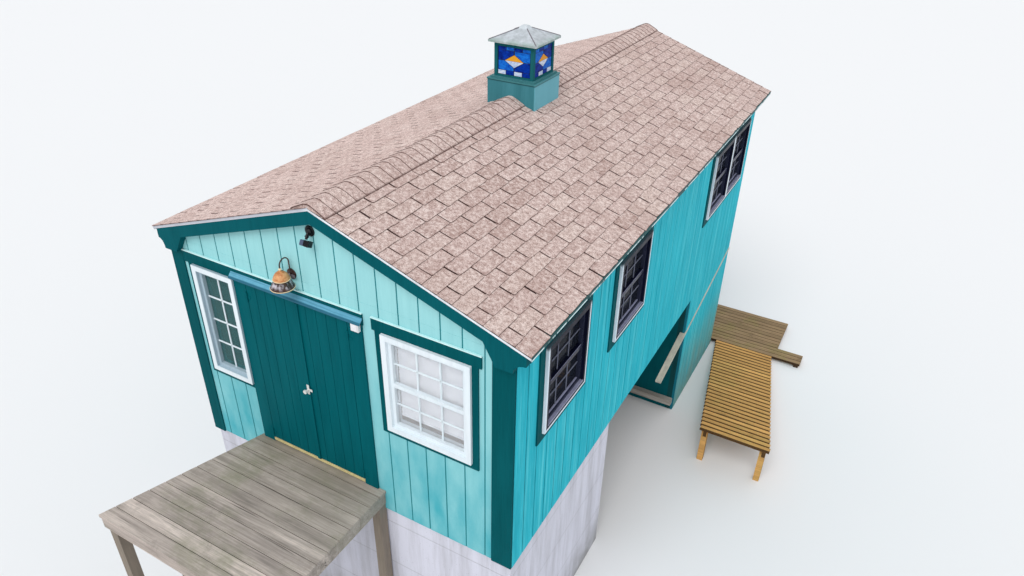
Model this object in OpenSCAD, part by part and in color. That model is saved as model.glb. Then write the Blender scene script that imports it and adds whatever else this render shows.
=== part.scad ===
// Boathouse: a small gabled, sided building over an open boat bay, with a cupola, decks and a ramp.
// Millimetres. X runs right along the front gable, Y runs back along the ridge, Z is up.
// The origin is on the lowest ground, under the middle of the front foundation wall.

/* [Body] */
// Outside width of the sided walls
body_w = 3750; // [3300:10:4400]
// Outside length of the sided walls
body_l = 7330; // [7150:10:8600]
// Thickness of a framed wall with its siding
wall_t = 110; // [90:1:150]
// Thickness of the siding sheet that hangs below the floor
siding_t = 16; // [9:1:19]
// How far the siding hangs below the floor
siding_drop = 270; // [230:5:330]
// Height of the floor above the lowest ground
floor_h = 2300; // [1900:10:2600]
// Thickness of the floor boards
floor_t = 28; // [18:1:40]
// Depth of the floor joists
joist_h = 186; // [140:1:200]
// Thickness of one joist
joist_t = 40; // [30:1:60]
// Distance between joists
joist_step = 406; // [300:1:610]
// Height of the seam above the floor where the gable siding starts
seam_h = 2120; // [2080:5:2140]

/* [Roof] */
// Height of the roof above the floor, at the fascia boards
eave_h = 2232; // [2190:1:2320]
// Rise of the roof from the fascia boards to the ridge
roof_rise = 674; // [500:1:1000]
// Distance of the fascia boards' outer faces from the side walls, before the roof's shift
eave_over = 88; // [60:1:200]
// Overhang of the shingles past the fascia boards
shingle_over = 40; // [15:1:60]
// Shift of the roof to the right of the building's middle
roof_x = 25; // [0:1:40]
// Overhang of the roof past the gable walls
gable_over = 72; // [60:1:150]
// Thickness of the sheathing and shingles together
roof_t = 40; // [30:1:60]
// Width of the ridge cap on each slope
cap_w = 176; // [120:1:220]
// Thickness of the ridge cap
cap_t = 24; // [12:1:40]
// Radius of the cap's rounded top
cap_round = 120; // [60:5:200]
// Height of the rake boards, measured upright
rake_h = 150; // [110:1:200]
// Thickness of the rake and fascia boards
rake_t = 20; // [15:1:30]
// Height of the fascia boards
fascia_h = 88; // [70:1:140]

/* [Trim] */
// Thickness of the flat trim boards
trim_t = 20; // [12:1:30]
// Width of the left front corner board and of the back ones
corner_w = 150; // [100:1:180]
// Width of the right front corner board
corner_wide_w = 205; // [120:1:230]
// Height of the header boards' lower edge above the floor
header_z = 1895; // [1850:1:1950]
// Height of the header boards
header_h = 115; // [80:1:125]
// Width of the boards round a front window
front_surround_w = 60; // [40:1:70]
// Width of the boards round a side window
side_surround_w = 85; // [50:1:110]

/* [Windows] */
// Width of a window's white casing
casing_w = 52; // [35:1:70]
// How far the casing stands out from the siding
casing_proud = 48; // [25:1:55]
// Width of the sash inside the casing
sash_w = 34; // [25:1:45]
// Depth of the sash behind the siding's face
sash_depth = 60; // [50:1:75]
// Thickness of the glass
glass_t = 5; // [3:1:8]
// Distance from the left corner board to the tall window's surround
tall_window_gap = 59; // [20:1:150]
// Height of the tall window's sill above the floor
tall_window_sill = 670; // [600:1:900]
// Distance from the right corner board to the right window's surround
front_window_edge = 125; // [60:1:250]
// Distance from the door casing to the front window on the right
front_window_gap = 208; // [150:1:230]
// Width of the board left of that window
front_board_w = 73; // [50:1:90]
// Length of the header board over that window past the boards beside it
header_past = 30; // [0:1:60]
// Height of that window's sill above the floor
front_window_sill = 854; // [700:1:1000]
// Width of a side or back window
side_window_w = 835; // [700:1:860]
// Height of a side or back window
side_window_h = 912; // [700:1:930]
// Height of a side window's sill above the floor
side_window_sill = 1015; // [900:1:1080]
// Distance from the front to the middle of the first side window
side_window_1 = 868; // [700:1:900]
// Distance from the front to the middle of the second side window
side_window_2 = 2432; // [2200:1:2700]
// Distance from the back to the middle of the window pair
side_window_pair = 1240; // [1090:1:1700]
// Width of the strip between the two windows of a pair
mullion_w = 20; // [10:1:40]
// Distance of the back windows from the middle
back_window_x = 860; // [700:1:1000]

/* [Doors] */
// Width of the doorway
door_w = 1181; // [1100:1:1200]
// Distance of the doorway's left edge from the building's middle
door_left_x = 926; // [900:1:940]
// Width of the casing boards beside the doorway
door_casing_w = 150; // [100:1:155]
// How far the doors and their casing stand out from the siding
door_proud = 25; // [20:1:35]
// Thickness of the door boards
door_board_t = 24; // [18:1:30]
// Thickness of the ledges on the inside of a door
ledge_t = 20; // [15:1:25]
// Number of boards in a door
door_boards = 5; // [3:1:7]
// Gap between a door and its casing
door_gap = 6; // [5:1:10]
// Gap between the two doors
middle_gap = 10; // [9:1:16]
// Height of the gap under a door
door_foot = 36; // [30:1:60]
// Width of the batten that covers the middle gap's edge
batten_w = 34; // [25:1:50]
// Radius of a hinge's barrel
barrel_r = 7; // [6:0.5:9]
// Radius of a hinge's pin
pin_r = 3; // [2.5:0.5:4]
// Running clearance between a pin and its knuckle
pin_gap = 0.25; // [0.1:0.05:0.4]
// Height of a hinge
hinge_h = 100; // [80:1:150]
// Height of the lower hinge above the floor
hinge_low_z = 60; // [50:1:200]
// Height of the upper hinge above the floor
hinge_high_z = 1700; // [1500:1:1740]

/* [Hood and lights] */
// Length of the sloping hood over the doors
hood_l = 1510; // [1300:1:1520]
// How far the hood stands out from the siding
hood_out = 62; // [50:1:90]
// Height of the hood's upper edge above the floor
hood_z = 1972; // [1940:1:2000]
// Fall of the hood from the wall to its outer edge
hood_fall = 46; // [20:1:60]
// Thickness of the hood's board
hood_t = 12; // [8:1:20]
// Distance of the door lamp from the building's middle
lamp_x = 325; // [200:1:400]
// Height of the lamp's wall plate above the floor
lamp_z = 2170; // [2160:1:2240]
// Radius of the lamp's shade at its rim
shade_r = 107; // [70:1:112]
// Height of the lamp's shade
shade_h = 172; // [120:1:180]
// Distance of the lamp's shade from the siding
shade_out = 130; // [125:1:180]
// Turn of the lamp's arm to the right
lamp_turn = 0; // [0:1:25]
// Radius of the lamp's bent arm
arm_r = 6; // [5:1:10]
// Distance of the floodlight from the building's middle
flood_x = 46; // [0:1:150]
// Height of the floodlight's plate above the floor
flood_z = 2655; // [2600:1:2660]

/* [Cupola] */
// Distance from the front to the cupola's middle
cupola_y = 3463; // [2500:1:4500]
// Width of the cupola's base
cupola_w = 594; // [500:1:700]
// Height of the base's top above the ridge
cupola_base_h = 177; // [120:1:220]
// Height of the moulding on the base
cupola_mould_h = 34; // [24:1:60]
// Width of the lantern
lantern_w = 486; // [420:1:500]
// Height of the lantern
lantern_h = 364; // [260:1:400]
// Width of a lantern post
lantern_post = 40; // [30:1:60]
// Height of the lantern's lower rail
lantern_rail = 20; // [12:1:60]
// Width of the cupola's roof
cupola_roof_w = 588; // [560:1:700]
// Height of the cupola's roof
cupola_roof_h = 129; // [90:1:240]

/* [Lower storey] */
// Thickness of the concrete foundation walls
foundation_t = 200; // [150:1:250]
// How far the foundation stands back from the siding
sill_inset = 20; // [20:1:40]
// Distance from the front to the open bay
bay_start = 2326; // [1800:1:2700]
// Distance from the front to the far side of the open bay
bay_end = 5225; // [4700:1:5500]
// Thickness of the framed walls of the lower storey
lower_wall_t = 110; // [90:1:150]
// Height of the middle of the timber across the bay above the ground
bay_timber_z = 180; // [100:1:300]
// Size of that timber's square section
bay_timber = 90; // [60:1:120]
// Distance from the front to the low end of the sloping rail
rail_start = 4252; // [4000:1:4400]
// Depth of the rail below the floor at its low end
rail_low = 1096; // [900:1:1200]
// Rise of the rail to the back corner
rail_rise = 690; // [400:1:760]
// Width of the rail across its top
rail_w = 80; // [50:1:110]
// Height of the rail's edge
rail_h = 38; // [25:1:50]
// How far the rail stands out from the wall
rail_proud = 14; // [10:1:20]

/* [Front deck] */
// Depth of the front deck from the siding
deck_depth = 1570; // [1400:1:1800]
// Drop of the deck below the floor
deck_drop = 23; // [15:1:40]
// Distance of the deck's right edge from the middle
deck_right = 482; // [420:1:700]
// Distance of the deck's left edge from the middle, at the wall
deck_left_back = 1110; // [1080:1:1300]
// Distance of the deck's left edge from the middle, at its front
deck_left_front = 1625; // [1200:1:1800]
// Thickness of a deck board
board_t = 32; // [25:1:40]
// Distance from one deck board to the next
board_step = 147; // [120:1:160]
// Gap between two deck boards
board_gap = 7; // [4:1:15]
// Depth of the deck's joists
deck_joist_h = 140; // [100:1:180]
// Side of a deck post's square section
post_w = 100; // [80:1:140]

/* [Landing and ramp] */
// Length of the landing along the back wall
landing_l = 2400; // [2000:1:2800]
// How far the landing reaches past the right wall
landing_past = 1100; // [1060:1:1300]
// Depth of the landing from the back wall
landing_depth = 1250; // [1000:1:1500]
// Height of the landing's top above the ground
landing_h = 84; // [76:1:160]
// How much further the two front boards reach to the right
long_board = 430; // [200:1:500]
// Distance from the right wall to the ramp at the landing
ramp_x = 95; // [60:1:200]
// Width of the ramp
ramp_w = 960; // [800:1:980]
// Length of the ramp along Y
ramp_l = 3037; // [2400:1:3400]
// Sideways run of the ramp over its length
ramp_skew = 560; // [300:1:700]
// Rise of the ramp from the landing to its free end
ramp_rise = 560; // [350:1:700]
// Number of boards on the ramp
ramp_boards = 28; // [22:1:32]
// Gap between two ramp boards
ramp_gap = 14; // [8:1:20]
// Depth of the ramp's stringers
stringer_h = 90; // [60:1:120]
// Thickness of the ramp's stringers
stringer_t = 45; // [35:1:60]

/* [Hidden] */

half_w = body_w / 2;
front_y = -(sill_inset + foundation_t / 2);
back_y = front_y + body_l;
floor_z = floor_h;
joist_top = floor_z - floor_t;
sill_z = joist_top - joist_h;
siding_z = floor_z - siding_drop;
seam_z = floor_z + seam_h;
bay_y0 = front_y + bay_start;
bay_y1 = front_y + bay_end;
over = 5;
seat = 0.3;

roof_half = half_w + eave_over;
slope = roof_rise / roof_half;
pitch = atan(slope);
roof_v = roof_t / cos(pitch);
ridge_z = floor_z + eave_h + roof_rise;
roof_y0 = front_y - gable_over;
roof_y1 = back_y + gable_over;

door_x0 = -door_left_x;
door_x1 = door_x0 + door_w;
door_middle = (door_x0 + door_x1) / 2;
leaf_w = (door_w - 2 * door_gap - middle_gap) / 2;
door_top = header_z - 10;
door_face = front_y - door_proud;
hinge_y = door_face - barrel_r;

lap = casing_w / 2;
tall_window_h = header_z - tall_window_sill;
front_window_h = header_z - front_window_sill;
tall_window_w = door_x0 - door_casing_w + half_w - corner_w - tall_window_gap - front_surround_w;
tall_window_x = door_x0 - door_casing_w - tall_window_w / 2;
front_window_w = half_w - corner_wide_w - front_window_edge - front_surround_w - front_window_gap
  - door_casing_w - door_x1;
front_window_x = door_x1 + door_casing_w + front_window_gap + front_window_w / 2;
pair_shift = (side_window_w + mullion_w) / 2;

// A window is its place along the wall, its sill's height, its width, its height and whether it slides
front_windows = [[tall_window_x, tall_window_sill, tall_window_w, tall_window_h, false],
  [front_window_x, front_window_sill, front_window_w, front_window_h, true]];
pair_y = body_l - side_window_pair;
side_windows = [for (y = [side_window_1, side_window_2, pair_y - pair_shift, pair_y + pair_shift])
  [y, side_window_sill, side_window_w, side_window_h, true]];
back_windows = [for (x = [-back_window_x, back_window_x])
  [x, side_window_sill, side_window_w, side_window_h, true]];

deck_z = floor_z - deck_drop;
deck_y0 = front_y - deck_depth;
landing_x1 = half_w + landing_past;
landing_x0 = landing_x1 - landing_l;

siding_blue = [0.60, 0.83, 0.84];
siding_teal = [0.24, 0.68, 0.74];
trim_teal = [0.09, 0.36, 0.41];
white_paint = [0.93, 0.94, 0.95];
shingle = [0.72, 0.62, 0.60];
concrete = [0.78, 0.78, 0.80];
aged_wood = [0.58, 0.55, 0.51];
new_wood = [0.74, 0.60, 0.36];

// Heights on the roof: its upper face, its lower face, and the seat a hair below that for what carries it
function roof_top(x) = ridge_z - slope * abs(x);
function roof_under(x) = roof_top(x) - roof_v;
function roof_seat(x) = roof_under(x) - seat;

// Turns a profile in X and Z into a bar along Y
module bar_y(y0, y1) {
  translate([0, y1, 0]) rotate([90, 0, 0]) linear_extrude(y1 - y0) children();
}

// Turns a profile in Y and Z into a bar along X
module bar_x(x0, x1) {
  translate([x0, 0, 0]) rotate([90, 0, 90]) linear_extrude(x1 - x0) children();
}

module block(low, high) {
  translate(low) cube(high - low);
}

module mirror_x() {
  children();
  mirror([1, 0, 0]) children();
}

// Places a window on one of the four walls, its sill in the middle, outwards along -Y
module on_front(window) {
  translate([window[0], front_y, floor_z + window[1]]) children();
}

module on_back(window) {
  translate([window[0], back_y, floor_z + window[1]]) rotate([0, 0, 180]) children();
}

module on_right(window) {
  translate([half_w, front_y + window[0], floor_z + window[1]]) rotate([0, 0, 90]) children();
}

module on_left(window) {
  translate([-half_w, front_y + window[0], floor_z + window[1]]) rotate([0, 0, -90]) children();
}

module window_hole(window) {
  translate([lap - window[2] / 2, -over, lap])
    cube([window[2] - 2 * lap, wall_t + 2 * over, window[3] - 2 * lap]);
}

// A ring of boards: outer width and height, board width, and depth from y0 to y1
module board_ring(w, h, board, y0, y1) {
  difference() {
    translate([-w / 2, y0, 0]) cube([w, y1 - y0, h]);
    translate([board - w / 2, y0 - over, board]) cube([w - 2 * board, y1 - y0 + 2 * over, h - 2 * board]);
  }
}

// White casing outside, sash inside the wall, and a meeting rail where the sashes slide
module window_frame(window) {
  w = window[2];
  h = window[3];
  rail_w = 1.2 * sash_w;
  board_ring(w, h, casing_w, -casing_proud, 0);
  translate([0, 0, lap]) board_ring(w - 2 * lap, h - 2 * lap, casing_w - lap + sash_w,
    -casing_proud / 3, sash_depth);
  if (window[4]) translate([lap - w / 2, -casing_proud / 3, (h - rail_w) / 2])
    cube([w - 2 * lap, casing_proud / 3 + sash_depth / 3, rail_w]);
}

module window_pane(window) {
  edge = casing_w + sash_w;
  translate([edge - window[2] / 2, sash_depth / 3, edge])
    cube([window[2] - 2 * edge, glass_t, window[3] - 2 * edge]);
}

// Four dark boards round a side window's casing, all in one plane
module side_surround(window, w) {
  difference() {
    translate([-w / 2 - side_surround_w, -trim_t, -side_surround_w])
      cube([w + 2 * side_surround_w, trim_t, window[3] + 2 * side_surround_w]);
    translate([-w / 2, -trim_t - over, 0]) cube([w, trim_t + 2 * over, window[3]]);
  }
}

// Foundation and lower storey

module foundation_front() {
  color(concrete) block([sill_inset - half_w, front_y + sill_inset, 0],
    [half_w - sill_inset, front_y + sill_inset + foundation_t, sill_z]);
}

module foundation_sides() {
  color(concrete) mirror_x() block([half_w - sill_inset - foundation_t, front_y + sill_inset + foundation_t, 0],
    [half_w - sill_inset, bay_y0, sill_z]);
}

// Profile of a lower wall: the siding stops where the upper siding hangs, the frame carries the joists
module lower_wall_profile() {
  polygon([[0, 0], [lower_wall_t, 0], [lower_wall_t, sill_z], [siding_t, sill_z],
    [siding_t, siding_z], [0, siding_z]]);
}

module lower_side_walls() {
  color(siding_teal) mirror_x() bar_y(bay_y1, back_y - lower_wall_t)
    translate([half_w, 0]) mirror([1, 0]) lower_wall_profile();
}

module lower_back_wall() {
  color(siding_teal) difference() {
    bar_x(-half_w, half_w) translate([back_y, 0]) mirror([1, 0]) lower_wall_profile();
    mirror_x() block([half_w - siding_t, back_y - lower_wall_t - over, siding_z],
      [half_w + over, back_y + over, sill_z + over]);
  }
}

module lower_front_wall() {
  color(trim_teal) block([lower_wall_t - half_w, bay_y1, 0],
    [half_w - lower_wall_t, bay_y1 + lower_wall_t, sill_z]);
}

module bay_timber() {
  color(aged_wood) block([lower_wall_t - half_w, bay_y1 - bay_timber, bay_timber_z - bay_timber / 2],
    [half_w - siding_t, bay_y1, bay_timber_z + bay_timber / 2]);
}

// A board that runs down from the back corner and on across the bay, notched round the lower wall
module sloping_rail() {
  run = body_l - rail_start;
  angle = atan(rail_rise / run);
  color(aged_wood) difference() {
    translate([half_w - rail_w + rail_proud, front_y + rail_start, floor_z - rail_low])
      rotate([angle, 0, 0]) cube([rail_w, run / cos(angle), rail_h]);
    block([0, bay_y1, 0], [half_w, back_y + over, floor_z]);
    block([0, back_y, 0], [half_w + rail_w, back_y + rail_w, floor_z]);
  }
}

// Floor

module floor_joists() {
  inner = half_w - siding_t;
  y0 = front_y + siding_t;
  y1 = back_y - siding_t;
  color(new_wood) {
    difference() {
      block([-inner, y0, sill_z], [inner, y1, joist_top]);
      block([joist_t - inner, y0 + joist_t, sill_z - over], [inner - joist_t, y1 - joist_t, joist_top + over]);
    }
    for (y = [y0 + joist_step : joist_step : y1 - joist_t - over])
      block([joist_t - inner - 1, y, sill_z], [inner - joist_t + 1, y + joist_t, joist_top]);
  }
}

module floor() {
  color(new_wood) block([siding_t - half_w, front_y + siding_t, joist_top],
    [half_w - siding_t, back_y - siding_t, floor_z]);
}

// Walls

// Profile of a gable-side wall up to its height, with the siding hanging below the floor
module end_wall_profile(top) {
  polygon([[0, siding_z], [siding_t, siding_z], [siding_t, floor_z], [wall_t, floor_z],
    [wall_t, top], [0, top]]);
}

module front_wall_part(x0, x1) {
  bar_x(x0, x1) translate([front_y, 0]) end_wall_profile(seam_z);
}

module front_wall_left() {
  color(siding_blue) difference() {
    front_wall_part(-half_w, door_x0);
    on_front(front_windows[0]) window_hole(front_windows[0]);
  }
}

module front_wall_right() {
  color(siding_blue) difference() {
    front_wall_part(door_x1, half_w);
    on_front(front_windows[1]) window_hole(front_windows[1]);
  }
}

// The wall over the doorway, and the siding that closes the floor's edge under it
module front_wall_over_door() {
  color(siding_blue) {
    block([door_x0, front_y, floor_z + header_z], [door_x1, front_y + wall_t, seam_z]);
    block([door_x0, front_y, siding_z], [door_x1, front_y + siding_t, floor_z]);
  }
}

module gable_profile() {
  polygon([[-half_w, seam_z], [half_w, seam_z], [half_w, roof_seat(half_w - roof_x)],
    [roof_x, roof_seat(0)], [-half_w, roof_seat(half_w + roof_x)]]);
}

module front_gable() {
  color(siding_blue) bar_y(front_y, front_y + wall_t) gable_profile();
}

// The roof's middle stands off to one side, so the two side walls differ in height
module side_wall(shift) {
  profile = [[half_w - wall_t, floor_z], [half_w - siding_t, floor_z], [half_w - siding_t, siding_z],
    [half_w, siding_z], [half_w, roof_seat(half_w - shift)],
    [half_w - wall_t, roof_seat(half_w - wall_t - shift)]];
  bar_y(front_y + wall_t, back_y - wall_t) polygon(profile);
  block([half_w - siding_t, front_y + siding_t, siding_z], [half_w, back_y - siding_t, floor_z]);
}

module right_wall() {
  color(siding_teal) difference() {
    side_wall(roof_x);
    for (window = side_windows) on_right(window) window_hole(window);
  }
}

module left_wall() {
  color(siding_teal) difference() {
    mirror([1, 0, 0]) side_wall(-roof_x);
    for (window = side_windows) on_left(window) window_hole(window);
  }
}

module back_wall() {
  color(siding_teal) difference() {
    union() {
      bar_x(-half_w, half_w) translate([back_y, 0]) mirror([1, 0]) end_wall_profile(seam_z);
      bar_y(back_y - wall_t, back_y) gable_profile();
    }
    for (window = back_windows) on_back(window) window_hole(window);
  }
}

// Roof, drawn from its own middle

module on_ridge() {
  translate([roof_x, 0, 0]) children();
}

module roof_slab() {
  edge = roof_half + shingle_over;
  bar_y(roof_y0 + rake_t, roof_y1 - rake_t)
    polygon([[0, roof_under(0)], [0, roof_top(0)], [edge, roof_top(edge)], [edge, roof_under(edge)]]);
}

module roof_right() {
  color(shingle) on_ridge() roof_slab();
}

module roof_left() {
  color(shingle) on_ridge() mirror([1, 0, 0]) roof_slab();
}

// The cap's upper outline, from right to left: it follows both slopes and is rounded over the ridge
function cap_outline(grow) = let (reach = (cap_w + grow) * cos(pitch), edge = cap_t / 2 + grow, steps = 8)
  concat([[reach, roof_top(reach) + seat], [reach, roof_top(reach) + edge]],
    [for (i = [0 : steps]) let (a = pitch - 2 * pitch * i / steps)
      [cap_round * sin(a), roof_top(0) + cap_t + grow + cap_round * (cos(a) - 1)]],
    [[-reach, roof_top(reach) + edge], [-reach, roof_top(reach) + seat]]);

module ridge_cap() {
  color(shingle) on_ridge() bar_y(roof_y0, roof_y1)
    polygon(concat([[0, roof_top(0) + seat]], cap_outline(0)));
}

// The roof below its upper face, with the cap on it
module roof_and_cap_profile() {
  polygon(concat([[body_w, 0], [roof_half, roof_top(roof_half) + seat]], cap_outline(seat),
    [[-roof_half, roof_top(roof_half) + seat], [-body_w, 0]]));
}

// A rake board with the flared return at its foot, on the right half, over a wall at this distance
module rake_profile(wall) {
  top_gap = 10;
  corner = wall - corner_w;
  flare = 110;
  foot_z = floor_z + header_z + header_h;
  end_z = foot_z + 100;
  cove = roof_half - wall;
  polygon(concat(
    [[0, roof_top(0) - rake_h], [0, roof_top(0) - top_gap], [roof_half, roof_top(roof_half) - top_gap],
      [roof_half, end_z]],
    [for (a = [0 : 15 : 90]) [roof_half - cove * sin(a), foot_z + (end_z - foot_z) * cos(a)]],
    [[corner, foot_z], [corner - flare, roof_top(corner - flare) - rake_h]]));
}

// The return closes the overhang from the rake board back to the wall
module return_profile(wall) {
  intersection() {
    rake_profile(wall);
    polygon([[wall - corner_w - 200, 0], [roof_half + over, 0], [roof_half + over, ridge_z],
      [wall - corner_w - 200, ridge_z]]);
    polygon([[0, 0], [roof_half + over, 0], [roof_half + over, roof_seat(roof_half + over)],
      [0, roof_seat(0)]]);
  }
}

module gable_rakes() {
  for (side = [-1, 1]) scale_x(side) {
    bar_y(roof_y0, roof_y0 + rake_t) rake_profile(half_w - side * roof_x);
    bar_y(roof_y0 + rake_t / 2, front_y) return_profile(half_w - side * roof_x);
  }
}

module scale_x(side) {
  mirror([side < 0 ? 1 : 0, 0, 0]) children();
}

module rake_boards() {
  color(trim_teal) on_ridge() {
    gable_rakes();
    translate([0, front_y + back_y, 0]) mirror([0, 1, 0]) gable_rakes();
  }
}

module fascia_boards() {
  color(trim_teal) on_ridge() mirror_x() bar_y(front_y, back_y)
    polygon([[roof_half - rake_t, roof_seat(roof_half - rake_t)], [roof_half, roof_seat(roof_half)],
      [roof_half, roof_under(roof_half) - fascia_h], [roof_half - rake_t, roof_under(roof_half) - fascia_h]]);
}

// Trim

module corner_boards() {
  top = floor_z + header_z + header_h;
  color(trim_teal) {
    block([-half_w, front_y - trim_t, siding_z], [corner_w - half_w, front_y, top]);
    block([half_w - corner_wide_w, front_y - trim_t, siding_z], [half_w, front_y, top]);
    mirror_x() block([half_w - corner_w, back_y, siding_z], [half_w, back_y + trim_t, top]);
  }
}

// The header boards run over the front windows and the doors, the rest closes round the windows
module front_surrounds() {
  door_edge = door_x1 + door_casing_w;
  left_edge = tall_window_x - tall_window_w / 2;
  right_edge = front_window_x + front_window_w / 2;
  header = floor_z + header_z;
  block([corner_w - half_w + 4, front_y - trim_t, header], [door_edge + 12, front_y, header + header_h]);
  block([left_edge - front_surround_w, front_y - trim_t, floor_z + tall_window_sill - front_surround_w],
    [left_edge, front_y, header]);
  block([left_edge - 1, front_y - trim_t, floor_z + tall_window_sill - front_surround_w],
    [door_x0 - door_casing_w, front_y, floor_z + tall_window_sill]);
  x0 = right_edge - front_window_w - front_board_w;
  x1 = right_edge + front_surround_w;
  difference() {
    union() {
      block([x0, front_y - trim_t, floor_z + front_window_sill - front_surround_w], [x1, front_y, header + 1]);
      block([x0 - header_past, front_y - trim_t, header], [x1 + header_past, front_y, header + header_h]);
    }
    block([right_edge - front_window_w, front_y - trim_t - over, floor_z + front_window_sill],
      [right_edge, front_y + over, header]);
  }
}

module window_surrounds() {
  single = side_window_w;
  pair = 2 * side_window_w + mullion_w;
  color(trim_teal) {
    front_surrounds();
    for (i = [0, 1]) {
      on_right(side_windows[i]) side_surround(side_windows[i], single);
      on_left(side_windows[i]) side_surround(side_windows[i], single);
      on_back(back_windows[i]) side_surround(back_windows[i], single);
    }
    on_right([pair_y, side_window_sill]) side_surround(side_windows[2], pair);
    on_left([pair_y, side_window_sill]) side_surround(side_windows[2], pair);
  }
}

// Windows

module front_window_frames() {
  color(white_paint) for (window = front_windows) on_front(window) window_frame(window);
}

// The strip that joins the two windows of a pair
module mullion() {
  translate([-mullion_w / 2 - 1, -casing_proud, 0]) cube([mullion_w + 2, casing_proud, side_window_h]);
}

module right_window_frames() {
  color(white_paint) {
    for (window = side_windows) on_right(window) window_frame(window);
    on_right([pair_y, side_window_sill]) mullion();
  }
}

module left_window_frames() {
  color(white_paint) {
    for (window = side_windows) on_left(window) window_frame(window);
    on_left([pair_y, side_window_sill]) mullion();
  }
}

module back_window_frames() {
  color(white_paint) for (window = back_windows) on_back(window) window_frame(window);
}

module window_glass() {
  color([0.15, 0.22, 0.28, 0.6]) {
    for (window = front_windows) on_front(window) window_pane(window);
    for (window = side_windows) {
      on_right(window) window_pane(window);
      on_left(window) window_pane(window);
    }
    for (window = back_windows) on_back(window) window_pane(window);
  }
}

// A lowered slat blind, hung from the top of the right front window's sash
module window_blind() {
  edge = casing_w + sash_w;
  window = front_windows[1];
  color(white_paint) on_front(window)
    translate([edge - window[2] / 2 + 6, sash_depth / 3 + glass_t + 8, edge + 60])
      cube([window[2] - 2 * edge - 12, 18, window[3] - 2 * edge - 60]);
}

// Doors

module door_casing() {
  color(trim_teal) {
    block([door_x0 - door_casing_w, door_face, deck_z], [door_x0, front_y, floor_z + header_z]);
    block([door_x1, door_face, deck_z], [door_x1 + door_casing_w, front_y, floor_z + header_z]);
    for (z = [hinge_low_z, hinge_high_z]) {
      fixed_hinge(door_x0 + door_gap / 2, z, -1);
      fixed_hinge(door_x1 - door_gap / 2, z, 1);
    }
  }
}

// The casing's half of a hinge: plate, two outer knuckles and the pin
module fixed_hinge(x, z, side) {
  third = hinge_h / 3;
  translate([x, hinge_y, floor_z + z]) {
    cylinder(h = hinge_h, r = pin_r, $fn = 32);
    for (up = [0, 2 * third]) translate([0, 0, up]) {
      cylinder(h = third, r = barrel_r, $fn = 32);
      hinge_plate(side, third);
    }
  }
}

// A flat plate from the barrel out over the casing or the door
module hinge_plate(side, h) {
  plate_t = 3;
  translate([side > 0 ? 0 : -38, barrel_r - plate_t, 0]) cube([38, plate_t, h]);
}

// The door's half of a hinge: plate and middle knuckle, bored for the pin
module moving_hinge(x, z, side) {
  third = hinge_h / 3;
  slack = 0.5;
  translate([x, hinge_y, floor_z + z + third + slack]) difference() {
    union() {
      cylinder(h = third - 2 * slack, r = barrel_r, $fn = 32);
      hinge_plate(side, third - 2 * slack);
    }
    translate([0, 0, -over]) cylinder(h = third + 2 * over, r = pin_r + pin_gap, $fn = 32);
  }
}

// A ledged door: upright boards with grooves between them, and three ledges inside
module door_leaf(x0) {
  board = leaf_w / door_boards;
  groove = 5;
  bottom = floor_z + door_foot;
  top = floor_z + door_top;
  back = door_face + door_board_t;
  difference() {
    block([x0, door_face, bottom], [x0 + leaf_w, back, top]);
    for (i = [1 : door_boards - 1]) translate([x0 + i * board - groove / 2, door_face - over, bottom - over])
      cube([groove, over + 4, top - bottom + 2 * over]);
  }
  for (share = [0.08, 0.5, 0.92]) translate([x0 + 40, back - 1, bottom + share * (top - bottom) - 50])
    cube([leaf_w - 80, ledge_t + 1, 100]);
}

module door_left() {
  x0 = door_x0 + door_gap;
  color(trim_teal) {
    door_leaf(x0);
    for (z = [hinge_low_z, hinge_high_z]) moving_hinge(door_x0 + door_gap / 2, z, 1);
  }
}

module door_right() {
  x0 = door_x1 - door_gap - leaf_w;
  color(trim_teal) {
    door_leaf(x0);
    block([x0, door_face - 14, floor_z + door_foot], [x0 + batten_w, door_face + 1, floor_z + door_top]);
    for (z = [hinge_low_z, hinge_high_z]) moving_hinge(door_x1 - door_gap / 2, z, -1);
  }
}

// A hasp plate with a turned knob on the right door's batten
module door_latch() {
  x = door_x1 - door_gap - leaf_w + batten_w / 2;
  plate_t = 3;
  color([0.72, 0.72, 0.70]) translate([x, door_face - 14, floor_z + 925]) {
    block([-14, -plate_t, -55], [14, 0, 55]);
    block([-14, -plate_t, -14], [50, 0, 14]);
    rotate([90, 0, 0]) cylinder(h = 40, r = 9, $fn = 32);
    translate([0, -36, 0]) rotate([90, 0, 0]) cylinder(h = 14, r = 20, $fn = 32);
  }
}

module door_threshold() {
  color(new_wood) block([door_x0, door_face - 5, floor_z], [door_x1, front_y + wall_t, floor_z + door_foot - 8]);
}

module door_hood() {
  x0 = (door_x0 + door_x1 - hood_l) / 2;
  z = floor_z + hood_z;
  skin = front_y - trim_t;
  out = front_y - hood_out;
  color([0.38, 0.62, 0.72]) bar_x(x0, x0 + hood_l)
    polygon([[skin, z], [out, z - hood_fall], [out, z - hood_fall - hood_t], [skin, z - hood_t]]);
}

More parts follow.
